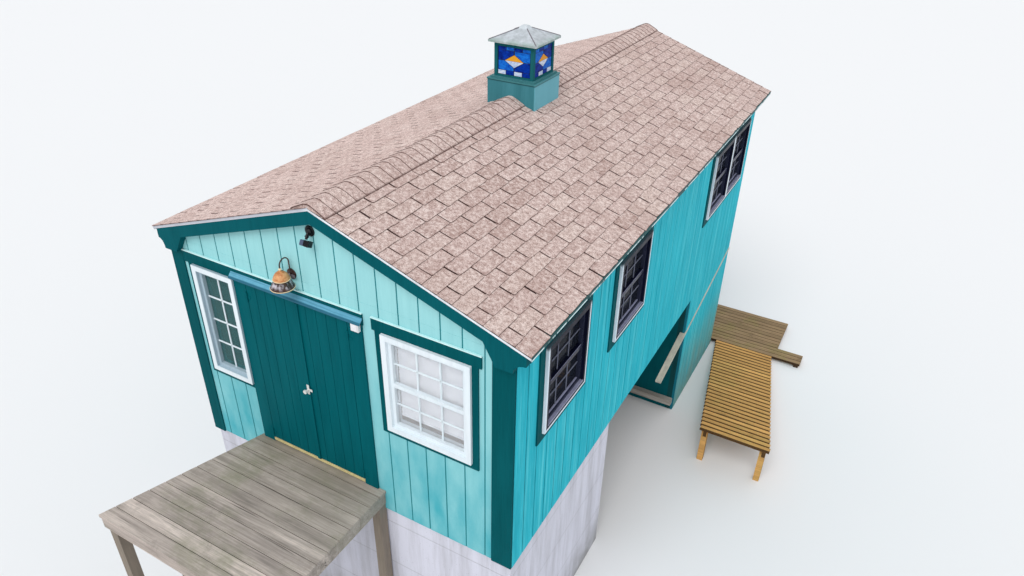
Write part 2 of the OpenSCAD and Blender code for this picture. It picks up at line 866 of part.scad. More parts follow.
// A bell shade on a bent arm, carried by a round wall plate
module door_lamp() {
  turn_r = shade_out / 2 - 12;
  start = shade_out - 2 * turn_r;
  top = 130;
  color([0.62, 0.42, 0.24]) translate([-lamp_x, front_y, floor_z + lamp_z]) {
    rotate([90, 0, 0]) cylinder(h = 14, r = 50, $fn = 48);
    rotate([0, 0, lamp_turn]) {
      translate([0, -10, 0]) rotate([90, 0, 0]) cylinder(h = start - 10, r = arm_r, $fn = 24);
      translate([0, -start, 0]) sphere(r = arm_r, $fn = 24);
      translate([0, -start, 0]) cylinder(h = top, r = arm_r, $fn = 24);
      translate([0, -start - turn_r, top]) rotate([0, -90, 0]) rotate([0, 0, -90])
        rotate_extrude(angle = 180, $fn = 48) translate([turn_r, 0]) circle(r = arm_r, $fn = 24);
      translate([0, -shade_out, top - 40]) cylinder(h = 40, r = arm_r, $fn = 24);
      translate([0, -shade_out, top - 30 - shade_h]) shade();
    }
  }
}

// The shade is a hollow bell: a domed cap with a knob over a wider skirt, open below
module shade() {
  wall = 3;
  cap_r = 0.66 * shade_r;
  neck_r = 0.60 * shade_r;
  skirt = [[shade_r, 0], [0.93 * shade_r, 0.10 * shade_h], [0.80 * shade_r, 0.25 * shade_h],
    [0.67 * shade_r, 0.38 * shade_h], [neck_r, 0.46 * shade_h]];
  dome = [[cap_r, 0.47 * shade_h], [cap_r, 0.50 * shade_h], [0.93 * cap_r, 0.62 * shade_h],
    [0.74 * cap_r, 0.76 * shade_h], [0.45 * cap_r, 0.87 * shade_h], [0.17 * cap_r, 0.93 * shade_h],
    [0.12 * cap_r, 0.97 * shade_h], [0, shade_h]];
  inside = [[0, 0.89 * shade_h], [0.42 * cap_r, 0.85 * shade_h], [0.70 * cap_r, 0.74 * shade_h],
    [neck_r - wall, 0.60 * shade_h], [neck_r - wall, 0.46 * shade_h - wall],
    [0.67 * shade_r - wall, 0.38 * shade_h - wall], [0.80 * shade_r - wall, 0.25 * shade_h - wall],
    [0.93 * shade_r - wall, 0.10 * shade_h - wall], [shade_r - wall, 0]];
  rotate_extrude($fn = 48) polygon(concat(skirt, dome, inside));
}

module floodlight() {
  color([0.05, 0.05, 0.06]) translate([-flood_x, front_y, floor_z + flood_z]) {
    rotate([90, 0, 0]) cylinder(h = 26, r = 48, $fn = 48);
    translate([0, -20, -10]) rotate([125, 0, 0]) cylinder(h = 75, r = 13, $fn = 24);
    translate([0, -84, -78]) rotate([-30, 0, 0]) block([-58, -36, -30], [58, 36, 30]);
  }
}

// Cupola

cupola_top = ridge_z + cupola_base_h;
cupola_mid = front_y + cupola_y;

module cupola_base() {
  r = cupola_w / 2;
  skin = 20;
  m = r + 6;
  n = r - 22;
  color(trim_teal) on_ridge() {
    difference() {
      block([-r, cupola_mid - r, ridge_z - slope * r - 60], [r, cupola_mid + r, cupola_top]);
      block([skin - r, cupola_mid - r + skin, 0], [r - skin, cupola_mid + r - skin, cupola_top + over]);
      bar_y(cupola_mid - r - over, cupola_mid + r + over) roof_and_cap_profile();
    }
    block([-m, cupola_mid - m, cupola_top - 1], [m, cupola_mid + m, cupola_top + cupola_mould_h * 0.5]);
    block([-n, cupola_mid - n, cupola_top + cupola_mould_h * 0.5 - 1],
      [n, cupola_mid + n, cupola_top + cupola_mould_h]);
  }
}

module cupola_lantern() {
  r = lantern_w / 2;
  z0 = cupola_top + cupola_mould_h;
  inner = r - lantern_post;
  sill = z0 + lantern_rail;
  head = z0 + lantern_h - lantern_post;
  color(trim_teal) on_ridge() difference() {
    block([-r, cupola_mid - r, z0], [r, cupola_mid + r, z0 + lantern_h]);
    block([-inner, cupola_mid - r - over, sill], [inner, cupola_mid + r + over, head]);
    block([-r - over, cupola_mid - inner, sill], [r + over, cupola_mid + inner, head]);
    block([-inner, cupola_mid - inner, z0 - over], [inner, cupola_mid + inner, z0 + lantern_h + over]);
  }
}

module cupola_glass() {
  r = lantern_w / 2;
  z0 = cupola_top + cupola_mould_h;
  inner = r - lantern_post;
  color([0.10, 0.25, 0.75]) translate([roof_x, cupola_mid, z0]) for (a = [0, 90, 180, 270]) rotate([0, 0, a])
    block([-inner, -r + 12, lantern_rail], [inner, -r + 18, lantern_h - lantern_post]);
}

// A square block that tapers upwards, from half width r0 at z0 to r1 at z1
module frustum(r0, r1, z0, z1) {
  polyhedron([[-r0, -r0, z0], [r0, -r0, z0], [r0, r0, z0], [-r0, r0, z0],
    [-r1, -r1, z1], [r1, -r1, z1], [r1, r1, z1], [-r1, r1, z1]],
    [[0, 1, 2, 3], [7, 6, 5, 4], [4, 5, 1, 0], [5, 6, 2, 1], [6, 7, 3, 2], [7, 4, 0, 3]]);
}

// A low pyramid with an eaves slab below and a small raised cap on top
module cupola_roof() {
  z0 = cupola_top + cupola_mould_h + lantern_h;
  r = cupola_roof_w / 2;
  color([0.55, 0.62, 0.60]) translate([roof_x, cupola_mid, z0]) {
    frustum(r, r, 0, 22);
    frustum(r, 45, 22, cupola_roof_h);
    frustum(62, 30, cupola_roof_h - 10, cupola_roof_h + 24);
  }
}

// Decks

module deck_outline() {
  polygon([[-deck_left_back, front_y], [-deck_left_front, deck_y0], [deck_right, deck_y0],
    [deck_right, front_y]]);
}

// Boards along X, cut to the deck's splayed outline, on joists that run along Y
module front_deck() {
  rows = ceil(deck_depth / board_step);
  joist_z = deck_z - board_t - deck_joist_h;
  color(aged_wood) {
    intersection() {
      translate([0, 0, deck_z - board_t]) linear_extrude(board_t) deck_outline();
      for (i = [0 : rows - 1]) block([-body_w, deck_y0 + i * board_step, 0],
        [body_w, deck_y0 + (i + 1) * board_step - board_gap, deck_z]);
    }
    intersection() {
      translate([0, 0, joist_z]) linear_extrude(deck_joist_h + 1) deck_outline();
      union() {
        for (x = [12 - deck_left_front : 400 : deck_right - joist_t])
          block([x, deck_y0 + 12, joist_z], [x + joist_t, front_y, joist_z + deck_joist_h + 1]);
        block([deck_right - 12 - joist_t, deck_y0 + 12, joist_z], [deck_right - 12, front_y, joist_z + deck_joist_h + 1]);
        block([-body_w, deck_y0 + 12, joist_z], [deck_right - 12, deck_y0 + 12 + joist_t, joist_z + deck_joist_h + 1]);
        block([-body_w, front_y - joist_t, joist_z], [deck_right - 12, front_y, joist_z + deck_joist_h + 1]);
      }
    }
  }
}

module deck_posts() {
  top = deck_z - board_t - deck_joist_h;
  left_front = deck_left_front - 60;
  color(aged_wood) {
    for (x = [-left_front, -left_front / 2 + deck_right / 2 - post_w / 2, deck_right - post_w - 20])
      block([x, deck_y0 + 20, 0], [x + post_w, deck_y0 + 20 + post_w, top]);
    for (x = [-deck_left_back + 20, deck_right - post_w - 20])
      block([x, front_y - post_w, 0], [x + post_w, front_y, top]);
  }
}

// A low platform along the back wall: boards along X on sleepers that lie on the ground
module back_landing() {
  rows = floor(landing_depth / board_step);
  y0 = back_y;
  sleeper = landing_h - board_t;
  color(aged_wood) {
    for (i = [0 : rows - 1]) block([landing_x0, y0 + i * board_step, sleeper - 1],
      [landing_x1 + (i < 2 ? long_board : 0), y0 + (i + 1) * board_step - board_gap, landing_h]);
    for (x = [landing_x0 + 60 : 700 : landing_x1 - 80]) block([x, y0 + 10, 0],
      [x + 80, y0 + rows * board_step - board_gap - 10, sleeper]);
    block([landing_x1 + long_board - 100, y0 + 10, 0],
      [landing_x1 + long_board - 20, y0 + 2 * board_step - board_gap - 10, sleeper]);
  }
}

// The ramp climbs towards the front and runs away from the wall, its boards stay along X
module side_ramp() {
  y0 = back_y;
  step_y = ramp_l / ramp_boards;
  climb = atan(ramp_rise / ramp_l);
  x0 = half_w + ramp_x;
  board = step_y / cos(climb) - ramp_gap;
  color(new_wood) for (i = [0 : ramp_boards - 1]) {
    t = (i + 0.5) / ramp_boards;
    translate([x0 + t * ramp_skew, y0 - t * ramp_l, landing_h + t * ramp_rise]) rotate([-climb, 0, 0])
      translate([0, -board / 2, -board_t]) cube([ramp_w, board, board_t]);
  }
  color(new_wood) for (side = [50, ramp_w - 50 - stringer_t]) stringer(x0 + side, y0, climb);
  color(new_wood) for (t = [0.5, 0.96]) ramp_legs(x0 + t * ramp_skew, y0 - t * ramp_l, t * ramp_rise);
}

// A beam under the ramp's boards, cut off at the ground
module stringer(x, y, climb) {
  turn = atan(ramp_skew / ramp_l);
  along = norm([ramp_l, ramp_skew]);
  rise = atan(ramp_rise / along);
  top = landing_h - board_t / cos(climb) + 1;
  intersection() {
    translate([x, y, top]) rotate([0, 0, turn]) rotate([-rise, 0, 0])
      translate([0, -along / cos(rise), -stringer_h]) cube([stringer_t, along / cos(rise), stringer_h]);
    block([x - 2000, y - ramp_l, 0], [x + 2000, y, 3000]);
  }
}

module ramp_legs(x, y, rise) {
  leg = 80;
  top = landing_h - board_t + rise - stringer_h / 2;
  for (side = [35, ramp_w - 35 - leg]) block([x + side, y - leg / 2, 0], [x + side + leg, y + leg / 2, top]);
}

foundation_front();
foundation_sides();
lower_front_wall();
lower_side_walls();
lower_back_wall();
bay_timber();
sloping_rail();
floor_joists();
floor();
front_wall_left();
front_wall_right();
front_wall_over_door();
front_gable();
left_wall();
right_wall();
back_wall();
roof_left();
roof_right();
ridge_cap();
rake_boards();
fascia_boards();
corner_boards();
window_surrounds();
front_window_frames();
right_window_frames();
left_window_frames();
back_window_frames();
window_glass();
window_blind();
door_casing();
door_threshold();
door_left();
door_right();
door_latch();
door_hood();
door_lamp();
floodlight();
cupola_base();
cupola_lantern();
cupola_glass();
cupola_roof();
front_deck();
deck_posts();
back_landing();
side_ramp();
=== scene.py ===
"""Finishes for a small gabled boathouse: siding, shingles, trim, glass and hardware over the fixed model."""

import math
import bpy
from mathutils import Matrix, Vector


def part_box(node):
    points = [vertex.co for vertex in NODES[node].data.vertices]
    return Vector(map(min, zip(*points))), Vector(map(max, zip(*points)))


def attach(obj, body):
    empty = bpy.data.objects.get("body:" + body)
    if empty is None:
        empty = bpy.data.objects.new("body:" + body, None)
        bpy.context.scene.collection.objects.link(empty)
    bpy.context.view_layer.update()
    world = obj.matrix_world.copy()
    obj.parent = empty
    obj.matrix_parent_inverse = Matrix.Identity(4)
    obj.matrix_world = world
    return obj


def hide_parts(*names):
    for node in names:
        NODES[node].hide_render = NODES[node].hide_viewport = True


bl_info = {
    "name": "Boathouse finishes",
    "version": (1, 0, 0),
    "blender": (4, 5, 0),
    "location": "View3D > Sidebar > Boathouse",
    "description": "Adds siding, shingles, window bars, hardware and painted finishes to the boathouse model",
    "category": "Object",
}

import bmesh
import bpy
from mathutils import Matrix, Vector, noise

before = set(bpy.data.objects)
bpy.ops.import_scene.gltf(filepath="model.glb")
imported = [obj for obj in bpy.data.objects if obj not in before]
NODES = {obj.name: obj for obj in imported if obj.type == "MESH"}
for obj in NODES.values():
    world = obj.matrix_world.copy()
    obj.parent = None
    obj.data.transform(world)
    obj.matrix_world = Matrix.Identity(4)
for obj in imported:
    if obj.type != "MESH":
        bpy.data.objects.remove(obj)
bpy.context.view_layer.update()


# Places read from the model


def low(node):
    return Vector(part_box(node)[0])


def high(node):
    return Vector(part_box(node)[1])


def parts(node):
    """The lowest and highest corner of each separate part of a node."""
    bm = bmesh.new()
    bm.from_mesh(NODES[node].data)
    bmesh.ops.remove_doubles(bm, verts=bm.verts, dist=1e-5)
    seen, found = set(), []
    for start in bm.verts:
        if start in seen:
            continue
        seen.add(start)
        stack, points = [start], []
        while stack:
            vert = stack.pop()
            points.append(vert.co.copy())
            near = {edge.other_vert(vert) for edge in vert.link_edges} - seen
            seen |= near
            stack.extend(near)
        found.append([Vector([pick(axis) for axis in zip(*points)]) for pick in (min, max)])
    bm.free()
    return found


HALF_W = high("right_wall").x
FRONT_Y = low("front_gable").y
BACK_Y = high("back_wall").y
MID_Y = (FRONT_Y + BACK_Y) / 2
FLOOR_Z = high("floor").z
SIDING_Z = low("front_wall_left").z
SEAM_Z = low("front_gable").z
SEAM_GAP = 0.0003  # half the hairline between a wall's siding and its gable's
RIDGE_Z = high("roof_right").z
ROOF_X = (high("roof_right").x + low("roof_left").x) / 2
ROOF_HALF = (high("roof_right").x - low("roof_left").x) / 2
RAKE_Y0 = low("rake_boards").y
RAKE_Y1 = high("rake_boards").y
BAY_Y1 = low("lower_side_walls").y
DOOR_X0 = high("front_wall_left").x
DOOR_X1 = low("front_wall_right").x
DOOR_TOP = high("door_casing").z
SASH = 0.034  # width of a sash around its glass
CASING = 0.052  # width of the casing around a sash
SEAT = 0.0436  # the siding ends this far under the roof's upper face
WEAR_SEED = 17  # fixes the unevenness of the shingles' edges

# The slope follows from the roof's height and its thickness, which is measured square to the slope.
ROOF_THICK = 0.040
SLOPE = (RIDGE_Z - low("roof_right").z - ROOF_THICK) / ROOF_HALF
for _ in range(6):
    SLOPE = (RIDGE_Z - low("roof_right").z - ROOF_THICK / math.cos(math.atan(SLOPE))) / ROOF_HALF
PITCH = math.atan(SLOPE)
CAP_REACH = 0.176 * math.cos(PITCH)  # half the width of the model's ridge cap, seen from above

# Each wall: the axis that runs through it, which way is outwards, and where its face is.
WALLS = {"front": (1, -1, FRONT_Y), "right": (0, 1, HALF_W), "left": (0, -1, -HALF_W), "back": (1, 1, BACK_Y)}


def wall_of(lo, hi):
    """The wall that a pane of glass stands in."""
    if hi.x - lo.x > hi.y - lo.y:
        return "front" if lo.y < MID_Y else "back"
    return "right" if lo.x > 0 else "left"


PANES = parts("window_glass")
WALL_PANES = {wall: [pane for pane in PANES if wall_of(*pane) == wall] for wall in WALLS}
WIDE_PANE = max(WALL_PANES["front"], key=lambda pane: pane[0].x)  # the window right of the doors


def roof_top(x):
    return RIDGE_Z - SLOPE * abs(x - ROOF_X)


def srgb(r, g, b):
    """A colour given in 0 to 255 as seen on a screen, turned into the linear values that Blender uses."""
    return tuple(c / 255 / 12.92 if c <= 10.3 else ((c / 255 + 0.055) / 1.055) ** 2.4 for c in (r, g, b))


def scaled(rgb, factor):
    return tuple(min(1.0, c * factor) for c in rgb)


# What a user may change


def length(name, text, default):
    return bpy.props.FloatProperty(name=name, description=text, default=default, unit="LENGTH", precision=4)


def colour(name, text, *rgb):
    return bpy.props.FloatVectorProperty(
        name=name, description=text, default=srgb(*rgb), subtype="COLOR", size=3, min=0.0, max=1.0
    )


class BoathouseSizes(bpy.types.PropertyGroup):
    """Sizes of what is laid over the model."""

    siding_pitch: length("Siding pitch", "Distance between two grooves of the siding", 0.2025)
    siding_groove: length("Siding groove", "Width of a groove in the siding", 0.0115)
    siding_face: length("Siding face", "Thickness of the siding's raised face", 0.005)
    course: length("Shingle course", "Part of a shingle that shows below the next row", 0.1415)
    tab: length("Shingle tab", "Width of one shingle tab", 0.333)
    tab_gap: length("Tab gap", "Width of the slot between two tabs", 0.0105)
    tab_thick: length("Tab thickness", "Thickness of a shingle at its lower edge", 0.0055)
    cap_step: length("Ridge cap step", "Part of a ridge shingle that shows", 0.127)
    bar: length("Window bar", "Width of a bar across a front window's glass", 0.017)
    thin_bar: length("Thin window bar", "Width of a bar in the other windows", 0.009)
    slat: length("Blind slat", "Depth of a blind's slat", 0.05)
    slat_step: length("Slat step", "Distance between two slats", 0.042)
    board_step: length("Deck board step", "Distance from one deck board to the next", 0.147)


class BoathouseColours(bpy.types.PropertyGroup):
    """Colours of the finishes."""

    aqua: colour("Front siding", "Light paint of the front wall", 158, 216, 219)
    teal: colour("Side siding", "Paint of the side and back walls", 50, 190, 208)
    trim: colour("Trim", "Dark paint of the boards", 4, 88, 96)
    door: colour("Doors", "Dark paint of the doors", 0, 92, 100)
    hood: colour("Hood", "Paint of the hood over the doors", 98, 166, 192)
    shingle: colour("Shingles", "Mineral face of the shingles", 218, 192, 184)
    white: colour("Frames", "White of the window frames", 228, 239, 244)
    plank: colour("Deck boards", "Weathered boards of the front deck", 206, 192, 182)
    fresh: colour("Ramp boards", "Golden boards of the ramp", 220, 168, 100)
    concrete: colour("Concrete", "Poured foundation walls", 220, 220, 232)
    metal: colour("Cupola roof", "Sheet metal of the cupola's roof", 166, 172, 176)
    blue: colour("Blue glass", "Deep blue of the cupola's leaded glass", 2, 60, 176)
    amber: colour("Amber glass", "Amber of the cupola's leaded glass", 226, 168, 46)


def sizes():
    return bpy.context.scene.boathouse_sizes


def tint(name):
    """One of the user's colours."""
    return tuple(getattr(bpy.context.scene.boathouse_colours, name))


# Shader helpers


class Shade:
    """Adds nodes to a tree. What a node is given is a socket to link from, or a plain value."""

    def __init__(self, tree, surface=None):
        self.tree = tree
        self.surface = surface

    def node(self, kind, values=None, **settings):
        node = self.tree.nodes.new(kind)
        for key, value in settings.items():
            setattr(node, key, value)
        for key, value in (values or {}).items():
            self.put(node.inputs[key], value)
        return node

    def put(self, socket, value):
        if isinstance(value, bpy.types.NodeSocket):
            self.tree.links.new(value, socket)
        elif socket.type == "RGBA" and len(value) == 3:
            socket.default_value = (*value, 1.0)
        else:
            socket.default_value = value

    def maths(self, operation, a, b=0.0):
        return self.node("ShaderNodeMath", {0: a, 1: b}, operation=operation).outputs[0]

    def plus(self, a, b):
        return self.maths("ADD", a, b)

    def minus(self, a, b):
        return self.maths("SUBTRACT", a, b)

    def times(self, a, b):
        return self.maths("MULTIPLY", a, b)

    def below(self, a, b):
        return self.maths("LESS_THAN", a, b)

    def mix(self, share, a, b):
        return self.node("ShaderNodeMix", {0: share, 6: a, 7: b}, data_type="RGBA").outputs[2]

    def span(self, value, from_low, from_high, to_low=0.0, to_high=1.0):
        given = dict(enumerate((value, from_low, from_high, to_low, to_high)))
        return self.node("ShaderNodeMapRange", given).outputs[0]

    def place(self, scale=(1, 1, 1), shift=(0, 0, 0)):
        at = self.node("ShaderNodeTexCoord").outputs["Object"]
        return self.node("ShaderNodeMapping", {"Vector": at, "Location": shift, "Scale": scale}).outputs[0]

    def axes(self):
        at = self.node("ShaderNodeTexCoord").outputs["Object"]
        return self.node("ShaderNodeSeparateXYZ", {"Vector": at}).outputs

    def noise(self, vector, scale, detail=4.0, rough=0.55, warp=0.0):
        given = {"Vector": vector, "Scale": scale, "Detail": detail, "Roughness": rough, "Distortion": warp}
        return self.node("ShaderNodeTexNoise", given).outputs["Fac"]

    def cells(self, scale):
        """Distance from the middle of the nearest of many scattered cells."""
        return self.node("ShaderNodeTexVoronoi", {"Vector": self.place(), "Scale": scale}).outputs["Distance"]

    def attribute(self, name):
        return self.node("ShaderNodeAttribute", attribute_name=name, attribute_type="GEOMETRY").outputs["Fac"]

    def coat(self, rgb, rough, gloss=None, relief=None, metallic=None):
        """Sets the surface. relief is a height that varies, the depth it stands for and its strength."""
        given = {"Base Color": rgb, "Roughness": rough, "Specular IOR Level": gloss, "Metallic": metallic}
        for key, value in given.items():
            if value is not None:
                self.put(self.surface.inputs[key], value)
        if relief:
            given = dict(zip(("Height", "Distance", "Strength"), relief))
            self.put(self.surface.inputs["Normal"], self.node("ShaderNodeBump", given).outputs[0])


def group(s, name, ins, outs, build, values):
    """Places a shader group, built once. ins holds (name, socket type, default); values follow its order."""
    tree = bpy.data.node_groups.get(name)
    if not tree:
        tree = bpy.data.node_groups.new(name, "ShaderNodeTree")
        for label, kind, default in ins:
            tree.interface.new_socket(label, in_out="INPUT", socket_type=kind).default_value = default
        for label, kind in outs:
            tree.interface.new_socket(label, in_out="OUTPUT", socket_type=kind)
        inner = Shade(tree)
        given = inner.node("NodeGroupInput").outputs
        inner.node("NodeGroupOutput", build(inner, given))
    return s.node("ShaderNodeGroup", dict(enumerate(values)), node_tree=tree).outputs


F, C, V = "NodeSocketFloat", "NodeSocketColor", "NodeSocketVector"


def build_weather(s, given):
    """Soft patches of a paler and a darker tone, streaks that run down, and fine grit."""
    patches = s.span(s.noise(s.place((1, 1, 0.55)), given["Patch Scale"], 5.0), 0.32, 0.72)
    streaks = s.span(s.noise(s.place((1, 1, 0.09)), given["Streak Scale"], 6.0, 0.7), 0.42, 0.78)
    grit = s.noise(s.place(), 170.0, 3.0)
    pale = s.mix(s.times(patches, given["Fade"]), given["Colour"], given["Faded"])
    dirty = s.mix(s.times(streaks, given["Dirt"]), pale, given["Dirt Colour"])
    speckled = s.mix(s.times(grit, given["Grit"]), dirty, (0.02, 0.02, 0.02, 1))
    rough = s.span(s.plus(patches, streaks), 0.0, 2.0, -0.08, 0.12)
    return {"Colour": speckled, "Roughness": rough, "Grit": grit}


def weather(s, *values):
    """Places the weathering group: its values are the inputs named here, in their order."""
    ins = [
        ("Colour", C, (0.5, 0.5, 0.5, 1)),
        ("Faded", C, (0.7, 0.7, 0.7, 1)),
        ("Dirt Colour", C, (0.1, 0.09, 0.07, 1)),
        ("Fade", F, 0.5),
        ("Dirt", F, 0.35),
        ("Grit", F, 0.1),
        ("Patch Scale", F, 1.6),
        ("Streak Scale", F, 9.0),
    ]
    return group(s, "weathering", ins, [("Colour", C), ("Roughness", F), ("Grit", F)], build_weather, values)


def build_grain(s, given):
    """Wood grain that runs along the stretched axis, with long cracks and knots."""
    vector = given["Vector"]
    rings = s.noise(vector, 4.0, 6.0, 0.6, 0.6)
    fine = s.noise(vector, 22.0, 8.0, 0.7)
    cracks = s.span(s.noise(vector, 11.0, 3.0, 0.5, 0.3), 0.66, 0.72)
    tone = s.plus(s.times(rings, 0.55), s.times(fine, 0.45))
    wood = s.mix(s.span(tone, 0.35, 0.65), given["Dark"], given["Light"])
    shown = s.mix(s.times(cracks, given["Cracks"]), wood, (0.03, 0.025, 0.02, 1))
    return {"Colour": shown, "Height": s.minus(tone, s.times(cracks, given["Cracks"]))}


def grain(s, vector, light, dark, cracks):
    ins = [
        ("Vector", V, (0, 0, 0)),
        ("Light", C, (0.5, 0.4, 0.3, 1)),
        ("Dark", C, (0.2, 0.1, 0.1, 1)),
        ("Cracks", F, 0.5),
    ]
    outs = [("Colour", C), ("Height", F)]
    return group(s, "wood_grain", ins, outs, build_grain, (vector, light, dark, cracks))


MADE = {}


def finish(wire):
    """Turns a function that wires a surface into one that gives the material of a name, made once."""

    def made(name, *values, **settings):
        if name not in MADE:
            MADE[name] = bpy.data.materials.new(name)
            MADE[name].use_nodes = True
            tree = MADE[name].node_tree
            tree.nodes.clear()
            surface = tree.nodes.new("ShaderNodeBsdfPrincipled")
            s = Shade(tree, surface)
            s.node("ShaderNodeOutputMaterial", {"Surface": surface.outputs[0]})
            wire(s, *values, **settings)
        return MADE[name]

    return made


# Finishes. A pattern's place is scaled on X, Y and Z, and a small number draws it out along that axis.


@finish
def painted_boards(s, rgb, faded, dirt_rgb, fade, dirt, rough, low_dirt=None, fibre_depth=0.28, streak=None):
    """Painted wood with fine upright grain, faded patches and streaks, and a colour that comes in below a height:
    earth on the teal walls, painted shade on the front's aqua.
    """
    worn = weather(s, rgb, faded, dirt_rgb, fade, dirt, 0.06)
    fibre = s.noise(s.place((1, 1, 0.045)), 90.0, 5.0, 0.6)
    shown = s.mix(s.span(fibre, 0.45, 0.75, 0.0, fibre_depth), worn["Colour"], dirt_rgb)
    if streak:
        rain = s.noise(s.place((1, 1, 0.03)), 19.0, 5.0, 0.75)
        shown = s.mix(s.span(rain, 0.5, 0.68, 0.0, 0.55), shown, streak)
    if low_dirt:
        z0, z1, amount, earth_and_shade = low_dirt
        near = s.span(s.axes()["Z"], z0, z1, amount, 0.0)
        patch = s.span(s.noise(s.place((1, 1, 0.4)), 5.0, 6.0), 0.3, 0.7, 0.4, 1.0)
        shown = s.mix(s.times(near, patch), shown, earth_and_shade)
    relief = s.plus(fibre, s.times(worn["Grit"], 0.4))
    s.coat(shown, s.plus(worn["Roughness"], rough), 0.015, (relief, 0.0012, 0.7))


@finish
def wall_finish(s, groove, inside):
    """What shows in the grooves and inside the rooms: dark paint outside, and boards of the given colour inside;
    under the floor these are dark teal, which also stands in for the shade there.
    """
    x, y, _ = s.axes()
    wide = s.below(s.maths("ABSOLUTE", x), HALF_W - 0.03)
    deep = s.below(s.maths("ABSOLUTE", s.minus(y, MID_Y)), (BACK_Y - FRONT_Y) / 2 - 0.03)
    bare = grain(s, s.place((1, 1, 0.08)), inside, scaled(inside, 0.6), 0.2)
    worn = weather(s, groove, scaled(groove, 1.2), scaled(groove, 0.5))
    shown = s.mix(s.times(wide, deep), worn["Colour"], bare["Colour"])
    s.coat(shown, 0.75, 0.15, (s.noise(s.place((1, 1, 0.06)), 70.0), 0.001, 0.6))


@finish
def shingle_finish(s, lift, strength, cut_and_shade_rgb):
    """Mineral granules on asphalt: a tone for each tab, specks, broad stains, and a dark cut edge with painted
    shade along it.
    """
    tone, edge = s.attribute("tone"), s.attribute("edge")
    base = scaled(tint("shingle"), lift)
    browner = s.mix(s.span(tone, 0.0, 0.4, 0.5 * strength, 0.0), base, srgb(164, 130, 118))
    paler = s.mix(s.span(tone, 0.6, 1.0, 0.0, 0.6 * strength), browner, srgb(236, 216, 204))
    granules = s.noise(s.place(), 150.0, 4.0, 0.8)
    clumps = s.noise(s.place(), 27.0, 8.0, 0.85)
    mottled = s.mix(s.span(granules, 0.46, 0.6, 0.0, 0.85), paler, srgb(118, 92, 86))
    patched = s.mix(s.span(clumps, 0.48, 0.6, 0.0, 0.65), mottled, srgb(250, 234, 226))
    dusky = s.mix(s.span(clumps, 0.38, 0.48, 0.6, 0.0), patched, srgb(132, 104, 96))
    speckled = s.mix(s.span(s.cells(30.0), 0.06, 0.16, 0.7, 0.0), dusky, srgb(96, 70, 66))
    broad = s.span(s.noise(s.place(), 1.1, 7.0, 0.68), 0.46, 0.66, 0.0, 0.42 * strength)
    stained = s.mix(broad, speckled, srgb(164, 132, 122))
    # The cut edge's dark, with painted shade on the face beside it.
    shown = s.mix(s.span(edge, 0.15, 0.95, 0.0, 0.94), stained, cut_and_shade_rgb)
    s.coat(shown, 0.92, 0.12, (s.plus(granules, s.times(clumps, 0.8)), 0.003, 0.9))


@finish
def underlay_finish(s):
    worn = weather(s, srgb(64, 44, 40), srgb(84, 62, 56), srgb(34, 24, 22), 0.6, 0.4, 0.4)
    s.coat(worn["Colour"], 0.95, 0.1, (worn["Grit"], 0.001, 0.8))


@finish
def plain_paint(s, rgb, faded, dirt_rgb, rough, fade, dirt, metallic=0.0, gloss=0.3):
    """Smooth paint, enamel or sheet in three tones, with hardly any relief."""
    worn = weather(s, rgb, faded, dirt_rgb, fade, dirt, 0.04, 3.0, 14.0)
    relief = s.plus(worn["Grit"], s.noise(s.place(), 40.0))
    s.coat(worn["Colour"], s.plus(worn["Roughness"], rough), gloss, (relief, 0.0004, 0.5), metallic)


@finish
def glass_finish(s, clear):
    """Glass with painted shade and reflection, dark all over and a mottled teal-green on the front wall, but clear
    for the stretch from clear[0] to clear[1] along the front wall.
    """
    x, y, _ = s.axes()
    # Painted shade and reflection: the panes are dark, and those on the front wall teal-green.
    dark = (0.05, 0.06, 0.09)
    front = s.below(y, FRONT_Y + 0.2)
    inside = s.times(s.maths("GREATER_THAN", x, clear[0]), s.below(x, clear[1]))
    reflection_mottle = s.noise(s.place((1, 1, 0.4)), 3.0, 4.0)
    shown = s.mix(reflection_mottle, scaled(dark, 0.6), scaled(dark, 1.4))
    shown = s.mix(s.times(front, 0.9), shown, s.mix(reflection_mottle, (0.14, 0.38, 0.40), (0.30, 0.56, 0.56)))
    shown = s.mix(s.times(inside, front), shown, (0.95, 0.96, 0.98))
    s.coat(shown, 0.03, relief=(s.noise(s.place(), 2.5, 2.0), 0.002, 0.15))
    s.surface.inputs["IOR"].default_value = 1.06
    s.surface.inputs["Transmission Weight"].default_value = 0.8


